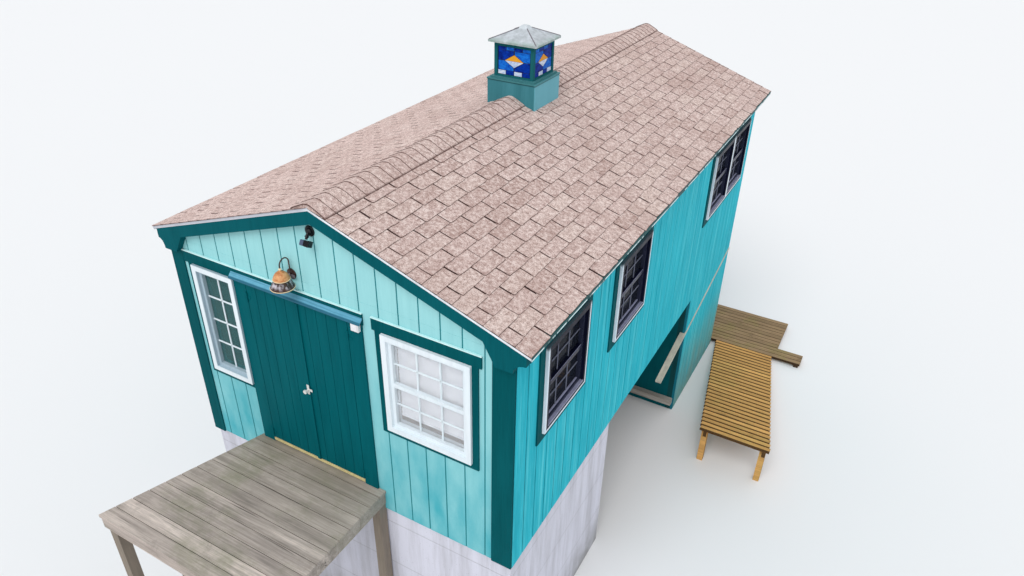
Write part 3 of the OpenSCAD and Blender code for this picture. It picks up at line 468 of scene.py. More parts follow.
@finish
def plank_finish(
    s, rgb, start, step, axis="Y", moss=None, cracks=0.7, along=(0.09, 1.6, 1.6), gap=0.0, fade=None, depth=0.66
):
    """Boards side by side along an axis, each with its own tone and grain.

    moss is a colour and an amount; gap is the joint's share of a step; fade is (y0, y1, colour, amount) for a
    colour that comes in along Y; depth is how dark the grain gets.
    """
    spot = s.maths("DIVIDE", s.minus(s.axes()[axis], start), step)
    row = s.maths("FLOOR", spot)
    own = s.node("ShaderNodeTexWhiteNoise", {"W": row}, noise_dimensions="1D").outputs["Value"]
    at = s.node("ShaderNodeTexCoord").outputs["Object"]
    shift = s.node("ShaderNodeCombineXYZ", {"X": s.times(own, 9.0), "Z": s.times(row, 0.7)}).outputs[0]
    moved = s.node("ShaderNodeVectorMath", {0: at, 1: shift}, operation="ADD").outputs[0]
    vector = s.node("ShaderNodeMapping", {"Vector": moved, "Scale": along}).outputs[0]
    wood = grain(s, vector, scaled(rgb, 1.3), scaled(rgb, depth), cracks)
    toned = s.mix(s.span(own, 0.0, 1.0, 0.0, 0.4), wood["Colour"], scaled(rgb, 0.55))
    wear = s.span(s.noise(s.place((0.6, 1, 1)), 2.4, 6.0, 0.65), 0.45, 0.72)
    shown = s.mix(s.times(wear, 0.35), toned, scaled(rgb, 1.25))
    stains = s.span(s.noise(s.place(shift=(3, 1, 0)), 3.2, 7.0, 0.75), 0.56, 0.68, 0.0, 0.5)
    shown = s.mix(stains, shown, scaled(rgb, 0.42))
    shown = s.mix(s.span(s.noise(vector, 46.0, 4.0, 0.7), 0.44, 0.62, 0.0, 0.45), shown, scaled(rgb, 0.45))
    if fade:
        y0, y1, other, amount = fade
        near = s.span(s.axes()["Y"], y0, y1, 0.0, amount)
        patch = s.span(s.noise(s.place(), 2.0, 5.0), 0.25, 0.6, 0.5, 1.0)
        shown = s.mix(s.times(near, patch), shown, other)
    if moss:
        patch = s.span(s.noise(s.place(), 1.7, 7.0, 0.72), 0.5, 0.68)
        shown = s.mix(s.times(patch, moss[1]), shown, moss[0])
    if gap:
        joint = s.below(s.maths("FRACT", spot), gap)
        shown = s.mix(s.times(joint, 0.9), shown, srgb(46, 28, 16))
    s.coat(shown, 0.85, 0.15, (wood["Height"], 0.003, 0.8))


@finish
def timber_finish(s, rgb, along, cracks=0.5):
    wood = grain(s, s.place(along), scaled(rgb, 1.15), scaled(rgb, 0.6), cracks)
    worn = weather(s, wood["Colour"], scaled(rgb, 1.3), scaled(rgb, 0.35), 0.25, 0.4, 0.1)
    s.coat(worn["Colour"], 0.8, relief=(wood["Height"], 0.002, 0.7))


@finish
def concrete_finish(s):
    """Poured in lifts, whose seams show, with pits in its face and damp at its foot."""
    rgb, lift = tint("concrete"), 0.61
    worn = weather(s, rgb, scaled(rgb, 1.12), srgb(120, 116, 112), 0.5, 0.5, 0.18, 1.1, 6.0)
    z = s.axes()["Z"]
    share = s.maths("FRACT", s.maths("DIVIDE", z, lift))
    seam = s.span(s.maths("ABSOLUTE", s.minus(share, 0.5)), 0.485, 0.5)
    pits = s.span(s.cells(26.0), 0.05, 0.16, 1.0, 0.0)
    damp = s.times(s.span(z, 0.0, 0.7, 0.6, 0.0), s.span(s.noise(s.place(), 3.0, 6.0), 0.3, 0.6))
    lined = s.mix(s.times(seam, 0.35), worn["Colour"], srgb(120, 118, 116))
    pitted = s.mix(s.times(pits, 0.3), lined, srgb(96, 94, 92))
    height = s.minus(s.noise(s.place(), 14.0, 8.0, 0.65), s.plus(s.times(pits, 0.5), seam))
    s.coat(s.mix(damp, pitted, srgb(104, 104, 92)), 0.9, relief=(height, 0.004, 0.7))


@finish
def sheet_metal(s, rgb, shaded):
    """Painted sheet metal, greyer on the left slope's edge as painted shade."""
    worn = weather(s, rgb, scaled(rgb, 1.1), srgb(120, 116, 118), 0.4, 0.4, 0.05, 3.0, 14.0)
    # Painted shade: the left slope's edge takes the shaded tone.
    far = s.span(s.axes()["X"], ROOF_X - 0.1, ROOF_X + 0.1, 1.0, 0.0)
    shown = s.mix(s.times(far, 0.75), worn["Colour"], shaded)
    s.coat(shown, s.plus(worn["Roughness"], 0.4), 0.3, (s.noise(s.place(), 20.0), 0.0008, 0.5))


@finish
def eave_metal(s):
    """Dark painted metal with a pale lip that is broken in places."""
    worn = weather(s, srgb(10, 74, 76), srgb(28, 96, 98), srgb(8, 36, 38), 0.4, 0.4, 0.05, 3.0, 10.0)
    x, _, z = s.axes()
    under = s.plus(s.times(s.maths("ABSOLUTE", s.minus(x, ROOF_X)), SLOPE), s.minus(z, RIDGE_Z))
    lip = s.span(under, -0.026, -0.023, 1.0, 0.0)
    broken = s.span(s.noise(s.place((0.0, 1, 0.0)), 2.6, 6.0, 0.75), 0.45, 0.5)
    shown = s.mix(s.times(lip, broken), worn["Colour"], srgb(222, 246, 248))
    s.coat(shown, s.plus(worn["Roughness"], 0.45), 0.1, (s.noise(s.place(), 20.0), 0.0008, 0.5))


@finish
def front_frame_white(s):
    """White, with painted shade in a cool grey on the sash and reveal of the tall window beside the doors."""
    worn = weather(s, tint("white"), srgb(250, 251, 253), srgb(168, 174, 184), 0.35, 0.3, 0.04, 3.0, 14.0)
    x, y, _ = s.axes()
    deep = s.span(y, FRONT_Y - 0.046, FRONT_Y - 0.040, 0.0, 0.85)
    # Painted shade on the recessed sash and reveal.
    reveal_shaded = s.mix(s.times(s.below(x, DOOR_X0), deep), worn["Colour"], srgb(158, 180, 192))
    s.coat(reveal_shaded, s.plus(worn["Roughness"], 0.3), 0.3, (s.noise(s.place(), 40.0), 0.0004, 0.5))


@finish
def recessed_white(s):
    """White casing outside, with painted shade: dark navy on the sashes and reveals that stand back in the wall,
    and dark teal on the head casing's top under the eave.
    """
    worn = weather(s, srgb(232, 244, 254), srgb(240, 250, 255), srgb(178, 190, 206), 0.3, 0.3, 0.04, 3.0, 14.0)
    x, y, z = s.axes()
    side = s.span(s.maths("ABSOLUTE", x), HALF_W + 0.016, HALF_W + 0.022, 1.0, 0.0)
    back = s.span(y, BACK_Y + 0.016, BACK_Y + 0.022, 1.0, 0.0)
    # Painted shade in the recess.
    recessed_shade = s.mix(s.noise(s.place(), 5.0, 4.0), srgb(12, 16, 36), srgb(36, 40, 68))
    head = max(hi.z for lo, hi in PANES if wall_of(lo, hi) != "front")
    # Painted shade of the eave on the top of the head casing.
    shaded = s.mix(s.times(s.span(z, head + 0.05, head + 0.08), 0.85), worn["Colour"], srgb(24, 62, 74))
    shown = s.mix(s.times(s.times(side, back), 0.98), shaded, recessed_shade)
    s.coat(shown, s.plus(worn["Roughness"], 0.3), 0.15, (s.noise(s.place(), 40.0), 0.0004, 0.5))


@finish
def hood_finish(s):
    """Blue-grey paint with fine lines along the boards and a darker front edge."""
    front = low("door_hood").y
    worn = weather(s, tint("hood"), srgb(122, 186, 208), srgb(60, 124, 150), 0.5, 0.4, 0.08, 3.0, 14.0)
    lines = s.span(s.noise(s.place((0.03, 1, 1)), 60.0, 4.0, 0.6), 0.52, 0.62, 0.0, 0.55)
    lined = s.mix(lines, worn["Colour"], srgb(62, 120, 146))
    lip = s.span(s.axes()["Y"], front + 0.008, front + 0.014, 0.9, 0.0)
    s.coat(s.mix(lip, lined, srgb(34, 94, 116)), s.plus(worn["Roughness"], 0.55), 0.1, (lines, 0.0008, 0.6))


@finish
def lamp_finish(s):
    """Copper cap, brown skirt with painted highlights and reflections in streaks and painted shade under the cap,
    dark arm and brown wall plate.
    """
    cx, cy, z0 = lamp_foot()
    x, y, z = s.axes()
    dx, dy = s.minus(x, cx), s.minus(y, cy)
    reach = s.maths("SQRT", s.plus(s.times(dx, dx), s.times(dy, dy)))
    up = s.minus(z, z0)
    above = s.maths("GREATER_THAN", up, 0.0792)
    cap = s.times(s.times(above, s.below(reach, 0.08)), s.below(up, 0.176))
    skirt = s.minus(1.0, above)
    worn = weather(s, srgb(58, 40, 36), srgb(112, 74, 60), srgb(26, 18, 20), 0.6, 0.5, 0.1, 9.0, 30.0)
    patina = s.span(s.noise(s.place((1, 1, 1.6)), 24.0, 5.0, 0.6), 0.36, 0.6)
    glow = s.mix(patina, srgb(184, 112, 60), srgb(222, 164, 112))
    # Painted highlights and reflections streak the skirt.
    sheen_streaks = s.span(s.noise(s.place((1, 1, 0.25)), 26.0, 4.0), 0.46, 0.6)
    painted_sheen = s.mix(sheen_streaks, srgb(66, 52, 46), srgb(198, 192, 200))
    shaded = s.mix(s.span(up, 0.01, 0.045), srgb(72, 48, 42), painted_sheen)
    # Painted shade under the cap's rim.
    shaded = s.mix(s.span(up, 0.062, 0.076), shaded, srgb(54, 34, 30))
    shown = s.mix(cap, s.mix(skirt, worn["Colour"], shaded), glow)
    rough = s.span(skirt, 0.0, 1.0, 0.45, 0.2)
    s.coat(shown, rough, 0.4, (s.noise(s.place(), 60.0, 3.0), 0.0006, 0.5), s.times(skirt, 0.35))


@finish
def cupola_paint(s):
    """Teal paint with rain streaks, a paler right side that is painted light, and painted shade on the moulding's
    underside.
    """
    top = low("cupola_lantern").z
    worn = weather(s, srgb(50, 118, 128), srgb(76, 144, 154), srgb(28, 84, 92), 0.5, 0.3, 0.08)
    rain = s.noise(s.place((1, 1, 0.12)), 11.0, 5.0, 0.6)
    streaked = s.mix(s.span(rain, 0.42, 0.66, 0.0, 0.35), worn["Colour"], srgb(84, 152, 164))
    x, _, z = s.axes()
    # Painted light on the right side.
    paler = s.mix(s.span(x, ROOF_X + 0.285, ROOF_X + 0.296, 0.0, 0.7), streaked, srgb(122, 196, 212))
    moulded = s.mix(s.span(z, top - 0.036, top - 0.032, 0.0, 0.75), paler, srgb(66, 122, 124))
    # Painted shade under the moulding.
    under = s.times(s.span(z, top - 0.046, top - 0.038), s.span(z, top - 0.034, top - 0.030, 1.0, 0.0))
    shown = s.mix(s.times(under, 0.85), moulded, srgb(14, 58, 62))
    s.coat(shown, s.plus(worn["Roughness"], 0.5), 0.15, (rain, 0.0005, 0.3))


@finish
def cupola_metal(s):
    """Sheet metal with a green tinge near its foot and a paler cap."""
    rgb, foot = tint("metal"), low("cupola_roof").z
    worn = weather(s, scaled(rgb, 1.16), srgb(224, 230, 238), srgb(128, 134, 136), 0.7, 0.55, 0.06, 9.0, 26.0)
    z = s.axes()["Z"]
    patch = s.span(s.noise(s.place(), 14.0, 5.0), 0.3, 0.65)
    green = s.times(s.span(z, foot + 0.012, foot + 0.05, 0.8, 0.0), patch)
    tinted = s.mix(green, worn["Colour"], srgb(136, 166, 154))
    capped = s.mix(s.span(z, foot + 0.118, foot + 0.122, 0.0, 0.6), tinted, srgb(206, 214, 218))
    s.coat(capped, s.plus(worn["Roughness"], 0.45), 0.3, (s.noise(s.place(), 18.0, 5.0), 0.0012, 0.5), 0.25)


@finish
def leaded_finish(s, rgb, other):
    """Streaky coloured glass, glossy in front."""
    swirl = s.noise(s.place((1, 1, 2)), 13.0, 5.0, 0.65, 1.2)
    s.coat(s.mix(s.span(swirl, 0.35, 0.68), rgb, other), 0.3, 0.05, (swirl, 0.001, 0.4))


@finish
def bay_finish(s):
    """Pale weathered sills near the ground, and dark teal posts above, whose dark paint also stands in for the
    shade under the floor.
    """
    wood = grain(s, s.place((0.08, 1, 1)), srgb(196, 192, 184), srgb(126, 120, 112), 0.6)
    worn = weather(s, srgb(6, 74, 78), srgb(22, 100, 104), srgb(2, 40, 44), 0.4, 0.5, 0.1)
    shown = s.mix(s.span(s.axes()["Z"], 0.30, 0.36), wood["Colour"], worn["Colour"])
    s.coat(shown, 0.8, 0.1, (wood["Height"], 0.002, 0.7))


@finish
def floor_sheet_finish(s):
    s.coat((0.82, 0.82, 0.82, 1), 0.9)


def trim_paint():
    return painted_boards("trim_paint", tint("trim"), srgb(18, 104, 112), srgb(2, 60, 66), 0.35, 0.3, 0.5)


def corner_paint():
    return painted_boards("corner_paint", srgb(0, 82, 88), srgb(14, 100, 106), srgb(0, 52, 58), 0.4, 0.3, 0.5)


def aqua_paint():
    # Painted shade over the front wall, strongest at its foot and fading out just above the seam.
    shadow = (SIDING_Z + 0.3, SEAM_Z + 0.15, 1.0, srgb(74, 172, 184))
    tones = (tint("aqua"), srgb(172, 228, 228), srgb(112, 180, 184))
    return painted_boards("aqua_paint", *tones, 0.5, 0.25, 0.6, low_dirt=shadow, fibre_depth=0.12)


def teal_paint():
    earth_and_shade = (0.0, 1.3, 0.8, srgb(150, 154, 128))
    tones = (tint("teal"), srgb(66, 208, 224), srgb(14, 126, 146))
    rain = srgb(112, 224, 232)
    return painted_boards("teal_paint", *tones, 0.5, 0.45, 0.6, low_dirt=earth_and_shade, fibre_depth=0.34, streak=rain)


# Mesh helpers


def mesh_from(bm, name):
    bmesh.ops.recalc_face_normals(bm, faces=bm.faces)
    mesh = bpy.data.meshes.new(name)
    bm.to_mesh(mesh)
    bm.free()
    return mesh


def link(name, shape, material):
    """Adds a piece of the building, from a mesh or a bmesh."""
    mesh = shape if isinstance(shape, bpy.types.Mesh) else mesh_from(shape, name)
    piece = bpy.data.objects.new(name, mesh)
    bpy.context.scene.collection.objects.link(piece)
    mesh.materials.clear()
    mesh.materials.append(material)
    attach(piece, "building")
    return piece


def dress(material, *names):
    """Gives nodes of the model their material."""
    for name in names:
        obj = NODES[name]
        if not obj.material_slots:
            obj.data.materials.append(material)
        for slot in obj.material_slots:
            slot.material = material


def box_into(bm, lo, hi, bevel=0.0):
    """One box, with its edges rounded a little, added to a bmesh."""
    lo, hi = Vector(lo), Vector(hi)
    made = bmesh.ops.create_cube(bm, size=1.0)["verts"]
    for vert in made:
        vert.co = (lo + hi) / 2 + Vector([vert.co[i] * (hi[i] - lo[i]) for i in range(3)])
    if bevel:
        edges = dict.fromkeys(edge for vert in made for edge in vert.link_edges)
        bmesh.ops.bevel(bm, geom=list(edges), offset=bevel, segments=1, affect="EDGES", profile=0.5)


def boxes(name, items, material, bevel=0.003):
    bm = bmesh.new()
    for lo, hi in items:
        box_into(bm, lo, hi, bevel)
    link(name, bm, material)


def wall_box(wall, along, through, up):
    """The corners of a box on a wall, from its reach along the wall, through it and up."""
    reach = [along, sorted(through), up]
    if WALLS[wall][0] == 0:
        reach[0], reach[1] = reach[1], reach[0]
    return tuple(zip(*reach))


def prism(points, y0, y1):
    """A closed solid from a flat outline in X and Z, reaching from y0 to y1."""
    bm = bmesh.new()
    near, far = [[bm.verts.new((x, y, z)) for x, z in points] for y in (y0, y1)]
    for i in range(len(points)):
        j = (i + 1) % len(points)
        bm.faces.new((near[i], near[j], far[j], far[i]))
    bm.faces.new(near)
    bm.faces.new(far)
    return bm


def merge(bm, other):
    """Moves one bmesh into another."""
    bm.from_mesh(mesh_from(other, "part"))


def settled(obj):
    """An object's mesh with its modifiers applied; the object itself is removed."""
    mesh = bpy.data.meshes.new_from_object(obj.evaluated_get(bpy.context.evaluated_depsgraph_get()))
    bpy.data.objects.remove(obj)
    return mesh


def cut(mesh, shape, operation):
    """A mesh cut by, or kept within, a closed shape."""
    obj = bpy.data.objects.new("cut", mesh)
    tool = bpy.data.objects.new("tool", mesh_from(shape, "tool"))
    for item in (obj, tool):
        bpy.context.scene.collection.objects.link(item)
    mod = obj.modifiers.new("cut", "BOOLEAN")
    mod.operation, mod.object, mod.solver = operation, tool, "EXACT"
    mesh = settled(obj)
    bpy.data.objects.remove(tool)
    return mesh


def repeat_tree():
    """Geometry nodes that set copies of a piece out in rows, with a wander, a turn and a tone of their own."""
    tree = bpy.data.node_groups.get("set_out_rows")
    if tree:
        return tree
    tree = bpy.data.node_groups.new("set_out_rows", "GeometryNodeTree")
    tree.interface.new_socket("Geometry", in_out="OUTPUT", socket_type="NodeSocketGeometry")
    for label, kind in (
        ("Geometry", "Geometry"),
        ("Across", "Int"),
        ("Rows", "Int"),
        ("Step Across", "Vector"),
        ("Step Rows", "Vector"),
        ("Odd Row Shift", "Vector"),
        ("Wander", "Vector"),
        ("Turn", "Vector"),
        ("Seed", "Int"),
        ("Material", "Material"),
    ):
        tree.interface.new_socket(label, in_out="INPUT", socket_type="NodeSocket" + kind)
    s = Shade(tree)
    given = s.node("NodeGroupInput").outputs
    index = s.node("GeometryNodeInputIndex").outputs[0]
    row = s.maths("FLOOR", s.maths("DIVIDE", s.plus(index, 0.5), given["Across"]))
    place = s.minus(index, s.times(row, given["Across"]))

    def scale(vector, amount):
        return s.node("ShaderNodeVectorMath", {0: vector, "Scale": amount}, operation="SCALE").outputs[0]

    def add(a, b):
        return s.node("ShaderNodeVectorMath", {0: a, 1: b}, operation="ADD").outputs[0]

    def spread(vector, offset):
        given_seed = s.plus(given["Seed"], offset)
        values = {0: scale(vector, -1.0), 1: vector, "Seed": given_seed}
        return s.node("FunctionNodeRandomValue", values, data_type="FLOAT_VECTOR").outputs[0]

    at = add(scale(given["Step Across"], place), scale(given["Step Rows"], row))
    at = add(at, scale(given["Odd Row Shift"], s.maths("MODULO", row, 2.0)))
    at = add(at, spread(given["Wander"], 1.0))
    total = s.times(given["Across"], given["Rows"])
    points = s.node("GeometryNodePoints", {"Count": total, "Position": at}).outputs[0]
    shape = {"Points": points, "Instance": given["Geometry"], "Rotation": spread(given["Turn"], 2.0)}
    copies = s.node("GeometryNodeInstanceOnPoints", shape).outputs[0]
    own_seed = {"Seed": s.plus(given["Seed"], 3.0)}
    own = s.node("FunctionNodeRandomValue", own_seed, data_type="FLOAT").outputs[1]
    toned = {"Geometry": copies, "Name": "tone", "Value": own}
    kept = s.node("GeometryNodeStoreNamedAttribute", toned, data_type="FLOAT", domain="INSTANCE").outputs[0]
    real = s.node("GeometryNodeRealizeInstances", {"Geometry": kept}).outputs[0]
    dressed = s.node("GeometryNodeSetMaterial", {"Geometry": real, "Material": given["Material"]}).outputs[0]
    s.node("NodeGroupOutput", {0: dressed})
    return tree


def set_out(name, bm, material, **values):
    """Repeats a small piece in rows and gives one plain mesh. values are the tree's inputs, _ for a space."""
    tree = repeat_tree()
    obj = bpy.data.objects.new(name, mesh_from(bm, name))
    bpy.context.scene.collection.objects.link(obj)
    mod = obj.modifiers.new("rows", "NODES")
    mod.node_group = tree
    values = {"rows": 1, "material": material, **values}
    for item in tree.interface.items_tree:
        key = item.name.lower().replace(" ", "_")
        if item.in_out == "INPUT" and key in values:
            mod[item.identifier] = values[key]
    return settled(obj)


# Siding


def siding_boards(name, material, span, z0, z1, first):
    """A row of siding faces standing on X, one between each two grooves, at Y from 0 to the face's depth."""
    size = sizes()
    pitch, groove = size.siding_pitch, size.siding_groove
    bm = bmesh.new()
    box_into(bm, (0, 0, z0), (pitch - groove, size.siding_face, z1), 0.002)
    count = int(math.ceil((span - first) / pitch)) + 1
    mesh = set_out(name, bm, material, across=count, step_across=(pitch, 0, 0), seed=7)
    mesh.transform(Matrix.Translation((first - pitch + groove / 2, 0, 0)))
    for vert in mesh.vertices:
        vert.co.x = min(max(vert.co.x, 0.0), span)
    return mesh


def hole_boxes(wall):
    """Boxes through a wall where its windows are."""
    bm = bmesh.new()
    out = Vector([SASH + CASING / 2] * 3)
    out[WALLS[wall][0]] = 0.2
    for lo, hi in WALL_PANES[wall]:
        box_into(bm, lo - out, hi + out)
    return bm


def lay_siding(name, paint, place, span, z0, z1, first, keep=None, holes=None):
    """Siding of a paint, given with a slot name that is not used, cut to stay within one closed shape or to spare
    others.
    """
    material, slot = paint
    mesh = siding_boards(name, material, span, z0, z1, first)
    mesh.transform(place)
    if keep:
        mesh = cut(mesh, keep, "INTERSECT")
    if holes:
        mesh = cut(mesh, holes, "DIFFERENCE")
    link(name, mesh, material)


def make_siding():
    size = sizes()
    face, pitch = size.siding_face, size.siding_pitch
    aqua, teal = (aqua_paint(), "aqua_siding"), (teal_paint(), "teal_siding")
    width, first = 2 * HALF_W, (HALF_W - 0.023) % pitch
    gable = [(-HALF_W, SEAM_Z), (HALF_W, SEAM_Z)] + [(x, roof_top(x) - SEAT) for x in (HALF_W, ROOF_X, -HALF_W)]
    front = Matrix.Translation((-HALF_W, FRONT_Y - face, 0))
    back = Matrix.Translation((HALF_W, BACK_Y + face, 0)) @ Matrix.Rotation(math.pi, 4, "Z")
    for wall, paint, place, foot in (("front", aqua, front, SIDING_Z), ("back", teal, back, 0.0)):
        y0, y1 = WALLS[wall][2] - 0.1, WALLS[wall][2] + 0.1
        holes = hole_boxes(wall)
        if wall == "front":
            box_into(holes, (DOOR_X0, y0, FLOOR_Z), (DOOR_X1, y1, DOOR_TOP))
        lay_siding(wall + "_siding", paint, place, width, foot, SEAM_Z - SEAM_GAP, first, holes=holes)
        keep = prism(gable, y0, y1)
        lay_siding(wall + "_gable_siding", paint, place, width, SEAM_Z + SEAM_GAP, RIDGE_Z, first, keep=keep)

    bay = BAY_Y1 - FRONT_Y
    for wall, x, edge in (("right", HALF_W + face, HALF_W), ("left", -HALF_W, -HALF_W)):
        place = Matrix.Translation((x, FRONT_Y, 0)) @ Matrix.Rotation(math.pi / 2, 4, "Z")
        top = roof_top(edge) - SEAT - 0.001
        holes = hole_boxes(wall)
        lay_siding(wall + "_siding", teal, place, BACK_Y - FRONT_Y, SIDING_Z, top, pitch * 0.96, holes=holes)
        lower = Matrix.Translation((0, bay, 0)) @ place
        start = pitch * 1.96 - bay % pitch
        lay_siding(wall + "_lower_siding", teal, lower, BACK_Y - BAY_Y1, 0.0, SIDING_Z - 0.006, start)

    bare = srgb(178, 150, 112)
    front_nodes = ("front_wall_left", "front_wall_right", "front_wall_over_door", "front_gable")
    dress(wall_finish("aqua_grooves", srgb(24, 132, 140), bare), *front_nodes)
    dress(wall_finish("teal_grooves", srgb(16, 112, 130), bare), "right_wall", "left_wall", "back_wall")
    # Under the floor the insides of the lower walls, and the wall across the bay, are dark teal: a paint that also
    # stands in for the deep shade there.
    lower = wall_finish("lower_teal_grooves", srgb(16, 112, 130), srgb(8, 74, 78))
    dress(lower, "lower_side_walls", "lower_back_wall")
    dress(trim_paint(), "lower_front_wall")


class BOATHOUSE_OT_siding(bpy.types.Operator):
    """Lays the grooved siding over the walls."""

    bl_idname = "boathouse.siding"
    bl_label = "Siding"

    def execute(self, context):
        make_siding()
        return {"FINISHED"}


# Roof


def slope_place(side):
    """Takes a sheet laid on X (along the ridge) and -Y (down the slope) to one side of the roof."""
    down = Vector((side * math.cos(PITCH), 0, -math.sin(PITCH)))
    up = Vector((side * math.sin(PITCH), 0, math.cos(PITCH)))
    place = Matrix((Vector((0, 1, 0)), -down, up)).transposed().to_4x4()
    place.translation = Vector((ROOF_X, RAKE_Y0 - 0.012, RIDGE_Z))
    return place


def shingle_tab(size):
    """One tab with rounded lower corners; the attribute edge is 1 on its cut edges and 0 on its face, and the
    finish darkens where it is high, for the cut edge and painted shade beside it.
    """
    bm = bmesh.new()
    edge = bm.verts.layers.float.new("edge")
    wide = (size.tab - size.tab_gap) / 2
    head, foot = size.course / 2 + 0.03, -size.course / 2
    corner = 0.013

    def outline(inset):
        x, y = wide - inset, foot + inset
        k = max(corner - inset, 0.002)
        half = [(x * 0.33, y), (x * 0.7, y), (x - k, y), (x - 0.3 * k, y + 0.3 * k), (x, y + k)]
        half += [(x, (y + head) / 2), (x, head)]
        return [(-px, py) for px, py in reversed(half)] + half

    def top(y):
        return size.tab_thick * (1.55 - 1.05 * (y - foot) / (head - foot))

    rings = []
    for inset, dark, under in ((0.0, 1.0, True), (0.0, 1.0, False), (0.0022, 0.45, False), (0.0055, 0.0, False)):
        ring = [bm.verts.new((x, y, -0.0005 if under else top(y))) for x, y in outline(inset)]
        for vert in ring:
            vert[edge] = dark
        rings.append(ring)
    for a, b in zip(rings, rings[1:]):
        for i in range(len(a) - 1):
            bm.faces.new((a[i + 1], a[i], b[i], b[i + 1]))
    bm.faces.new(rings[3])
    bm.faces.new([ring[0] for ring in rings] + [ring[-1] for ring in reversed(rings)])
    bm.faces.new(list(reversed(rings[0])))
    return bm


def make_shingles():
    size = sizes()
    slope_len = ROOF_HALF / math.cos(PITCH)
    span = RAKE_Y1 - RAKE_Y0 + 0.024
    rows = int(round((slope_len - 0.01) / size.course))
    tabs = int(math.ceil(span / size.tab)) + 1
    right = shingle_finish("shingle_granules", 1.0, 0.7, srgb(74, 50, 46))
    # Painted light: the left slope's copy is lifted paler, with paler cut edges.
    left = shingle_finish("shingle_granules_left", 1.19, 0.5, srgb(124, 100, 96))
    noise.seed_set(WEAR_SEED)
    for name, side, granules, past in (("right", 1, right, 0.006), ("left", -1, left, -0.0025)):
        mesh = set_out(
            name + "_shingles",
            shingle_tab(size),
            granules,
            across=tabs,
            rows=rows,
            step_across=(size.tab, 0, 0),
            step_rows=(0, size.course, 0),
            odd_row_shift=(-size.tab / 2, 0, 0),
            wander=(0.004, 0.0035, 0.0005),
            turn=(0.003, 0.003, 0.009),
            seed=11 + side,
        )
        mesh.transform(Matrix.Translation((size.tab / 3 + 0.032, -slope_len + size.course / 2, 0)))
        for vert in mesh.vertices:
            wear = noise.noise_vector(vert.co * 19.0)
            vert.co += Vector((wear.x, wear.y, wear.z * 0.35)) * 0.0065
            vert.co.x = min(max(vert.co.x, 0.0), span)
            vert.co.y = min(max(vert.co.y, -slope_len - past), -0.006)
            vert.co.z = max(vert.co.z, -0.0005)
        mesh.transform(slope_place(side))
        if side < 0:
            mesh.flip_normals()
        link(name + "_shingles", mesh, granules)
    dress(underlay_finish("shingle_underside"), "roof_left", "roof_right")


class BOATHOUSE_OT_shingles(bpy.types.Operator):
    """Lays the shingles on both slopes."""

    bl_idname = "boathouse.shingles"
    bl_label = "Shingles"

    def execute(self, context):
        make_shingles()
        return {"FINISHED"}


def cap_surface(x):
    """Height of the model's ridge cap above a place across the ridge, given from the ridge's own middle."""
    bend_radius, thick = 0.120, 0.024
    bend = bend_radius * math.sin(PITCH)
    if abs(x) <= bend:
        return RIDGE_Z + thick + math.sqrt(bend_radius**2 - x * x) - bend_radius
    z0 = RIDGE_Z + thick + bend_radius * (math.cos(PITCH) - 1)
    z1 = RIDGE_Z - SLOPE * CAP_REACH + thick / 2
    return z0 + (z1 - z0) * (abs(x) - bend) / (CAP_REACH - bend)


def make_ridge():
    """Bent shingles that lap one over the next along the ridge and run out onto the slopes."""
    size = sizes()
    granules = shingle_finish("ridge_granules", 1.0, 0.35, srgb(84, 58, 52))
    steps = 12
    inner = [-CAP_REACH + 2 * CAP_REACH * i / steps for i in range(steps + 1)]
    across = [-CAP_REACH - 0.016] + inner + [CAP_REACH + 0.016]
    last = len(across) - 1
    bm = bmesh.new()
    edge = bm.verts.layers.float.new("edge")
    long = size.cap_step + 0.05
    # The edge values darken each cap's foot and its sides, for their cut edge and a painted shade line beside it.
    section = [(0.0, 0.001, 1.0), (0.0, 0.0095, 0.9), (0.0035, 0.0098, 0.45), (0.008, 0.0095, 0.0)]
    section += [(long, 0.003, 0.0), (long, 0.0005, 1.0)]
    rings = []
    for y, z, dark in section:
        ring = []
        for i, x in enumerate(across):
            on_slope = i in (0, last)
            height = RIDGE_Z - SLOPE * abs(x) + 0.004 + z * 0.9 if on_slope else cap_surface(x) + z
            vert = bm.verts.new((ROOF_X + x, y, height))
            vert[edge] = {0: 0.4, last: 0.9}.get(i, dark)
            ring.append(vert)
        rings.append(ring)
    for a, b in zip(rings, rings[1:] + rings[:1]):
        for i in range(last):
            bm.faces.new((a[i], a[i + 1], b[i + 1], b[i]))
    for i in (0, last):
        bm.faces.new([ring[i] for ring in rings])
    y0, y1 = low("ridge_cap").y - 0.012, high("ridge_cap").y + 0.012
    count = int((y1 - y0) / size.cap_step) + 1
    step, wander = (0, size.cap_step, 0), (0.0, 0.004, 0.0003)
    mesh = set_out("ridge_shingles", bm, granules, across=count, step_across=step, wander=wander, seed=5)
    mesh.transform(Matrix.Translation((0, y0, 0)))
    noise.seed_set(WEAR_SEED)
    for vert in mesh.vertices:
        wear = noise.noise_vector(vert.co * 13.0)
        vert.co.y += wear.y * 0.007
        vert.co.y = min(max(vert.co.y, y0), y1)
    link("ridge_shingles", mesh, granules)
    dress(granules, "ridge_cap")


class BOATHOUSE_OT_ridge(bpy.types.Operator):
    """Bends shingles over the ridge."""

    bl_idname = "boathouse.ridge"
    bl_label = "Ridge"

    def execute(self, context):
        make_ridge()
        return {"FINISHED"}


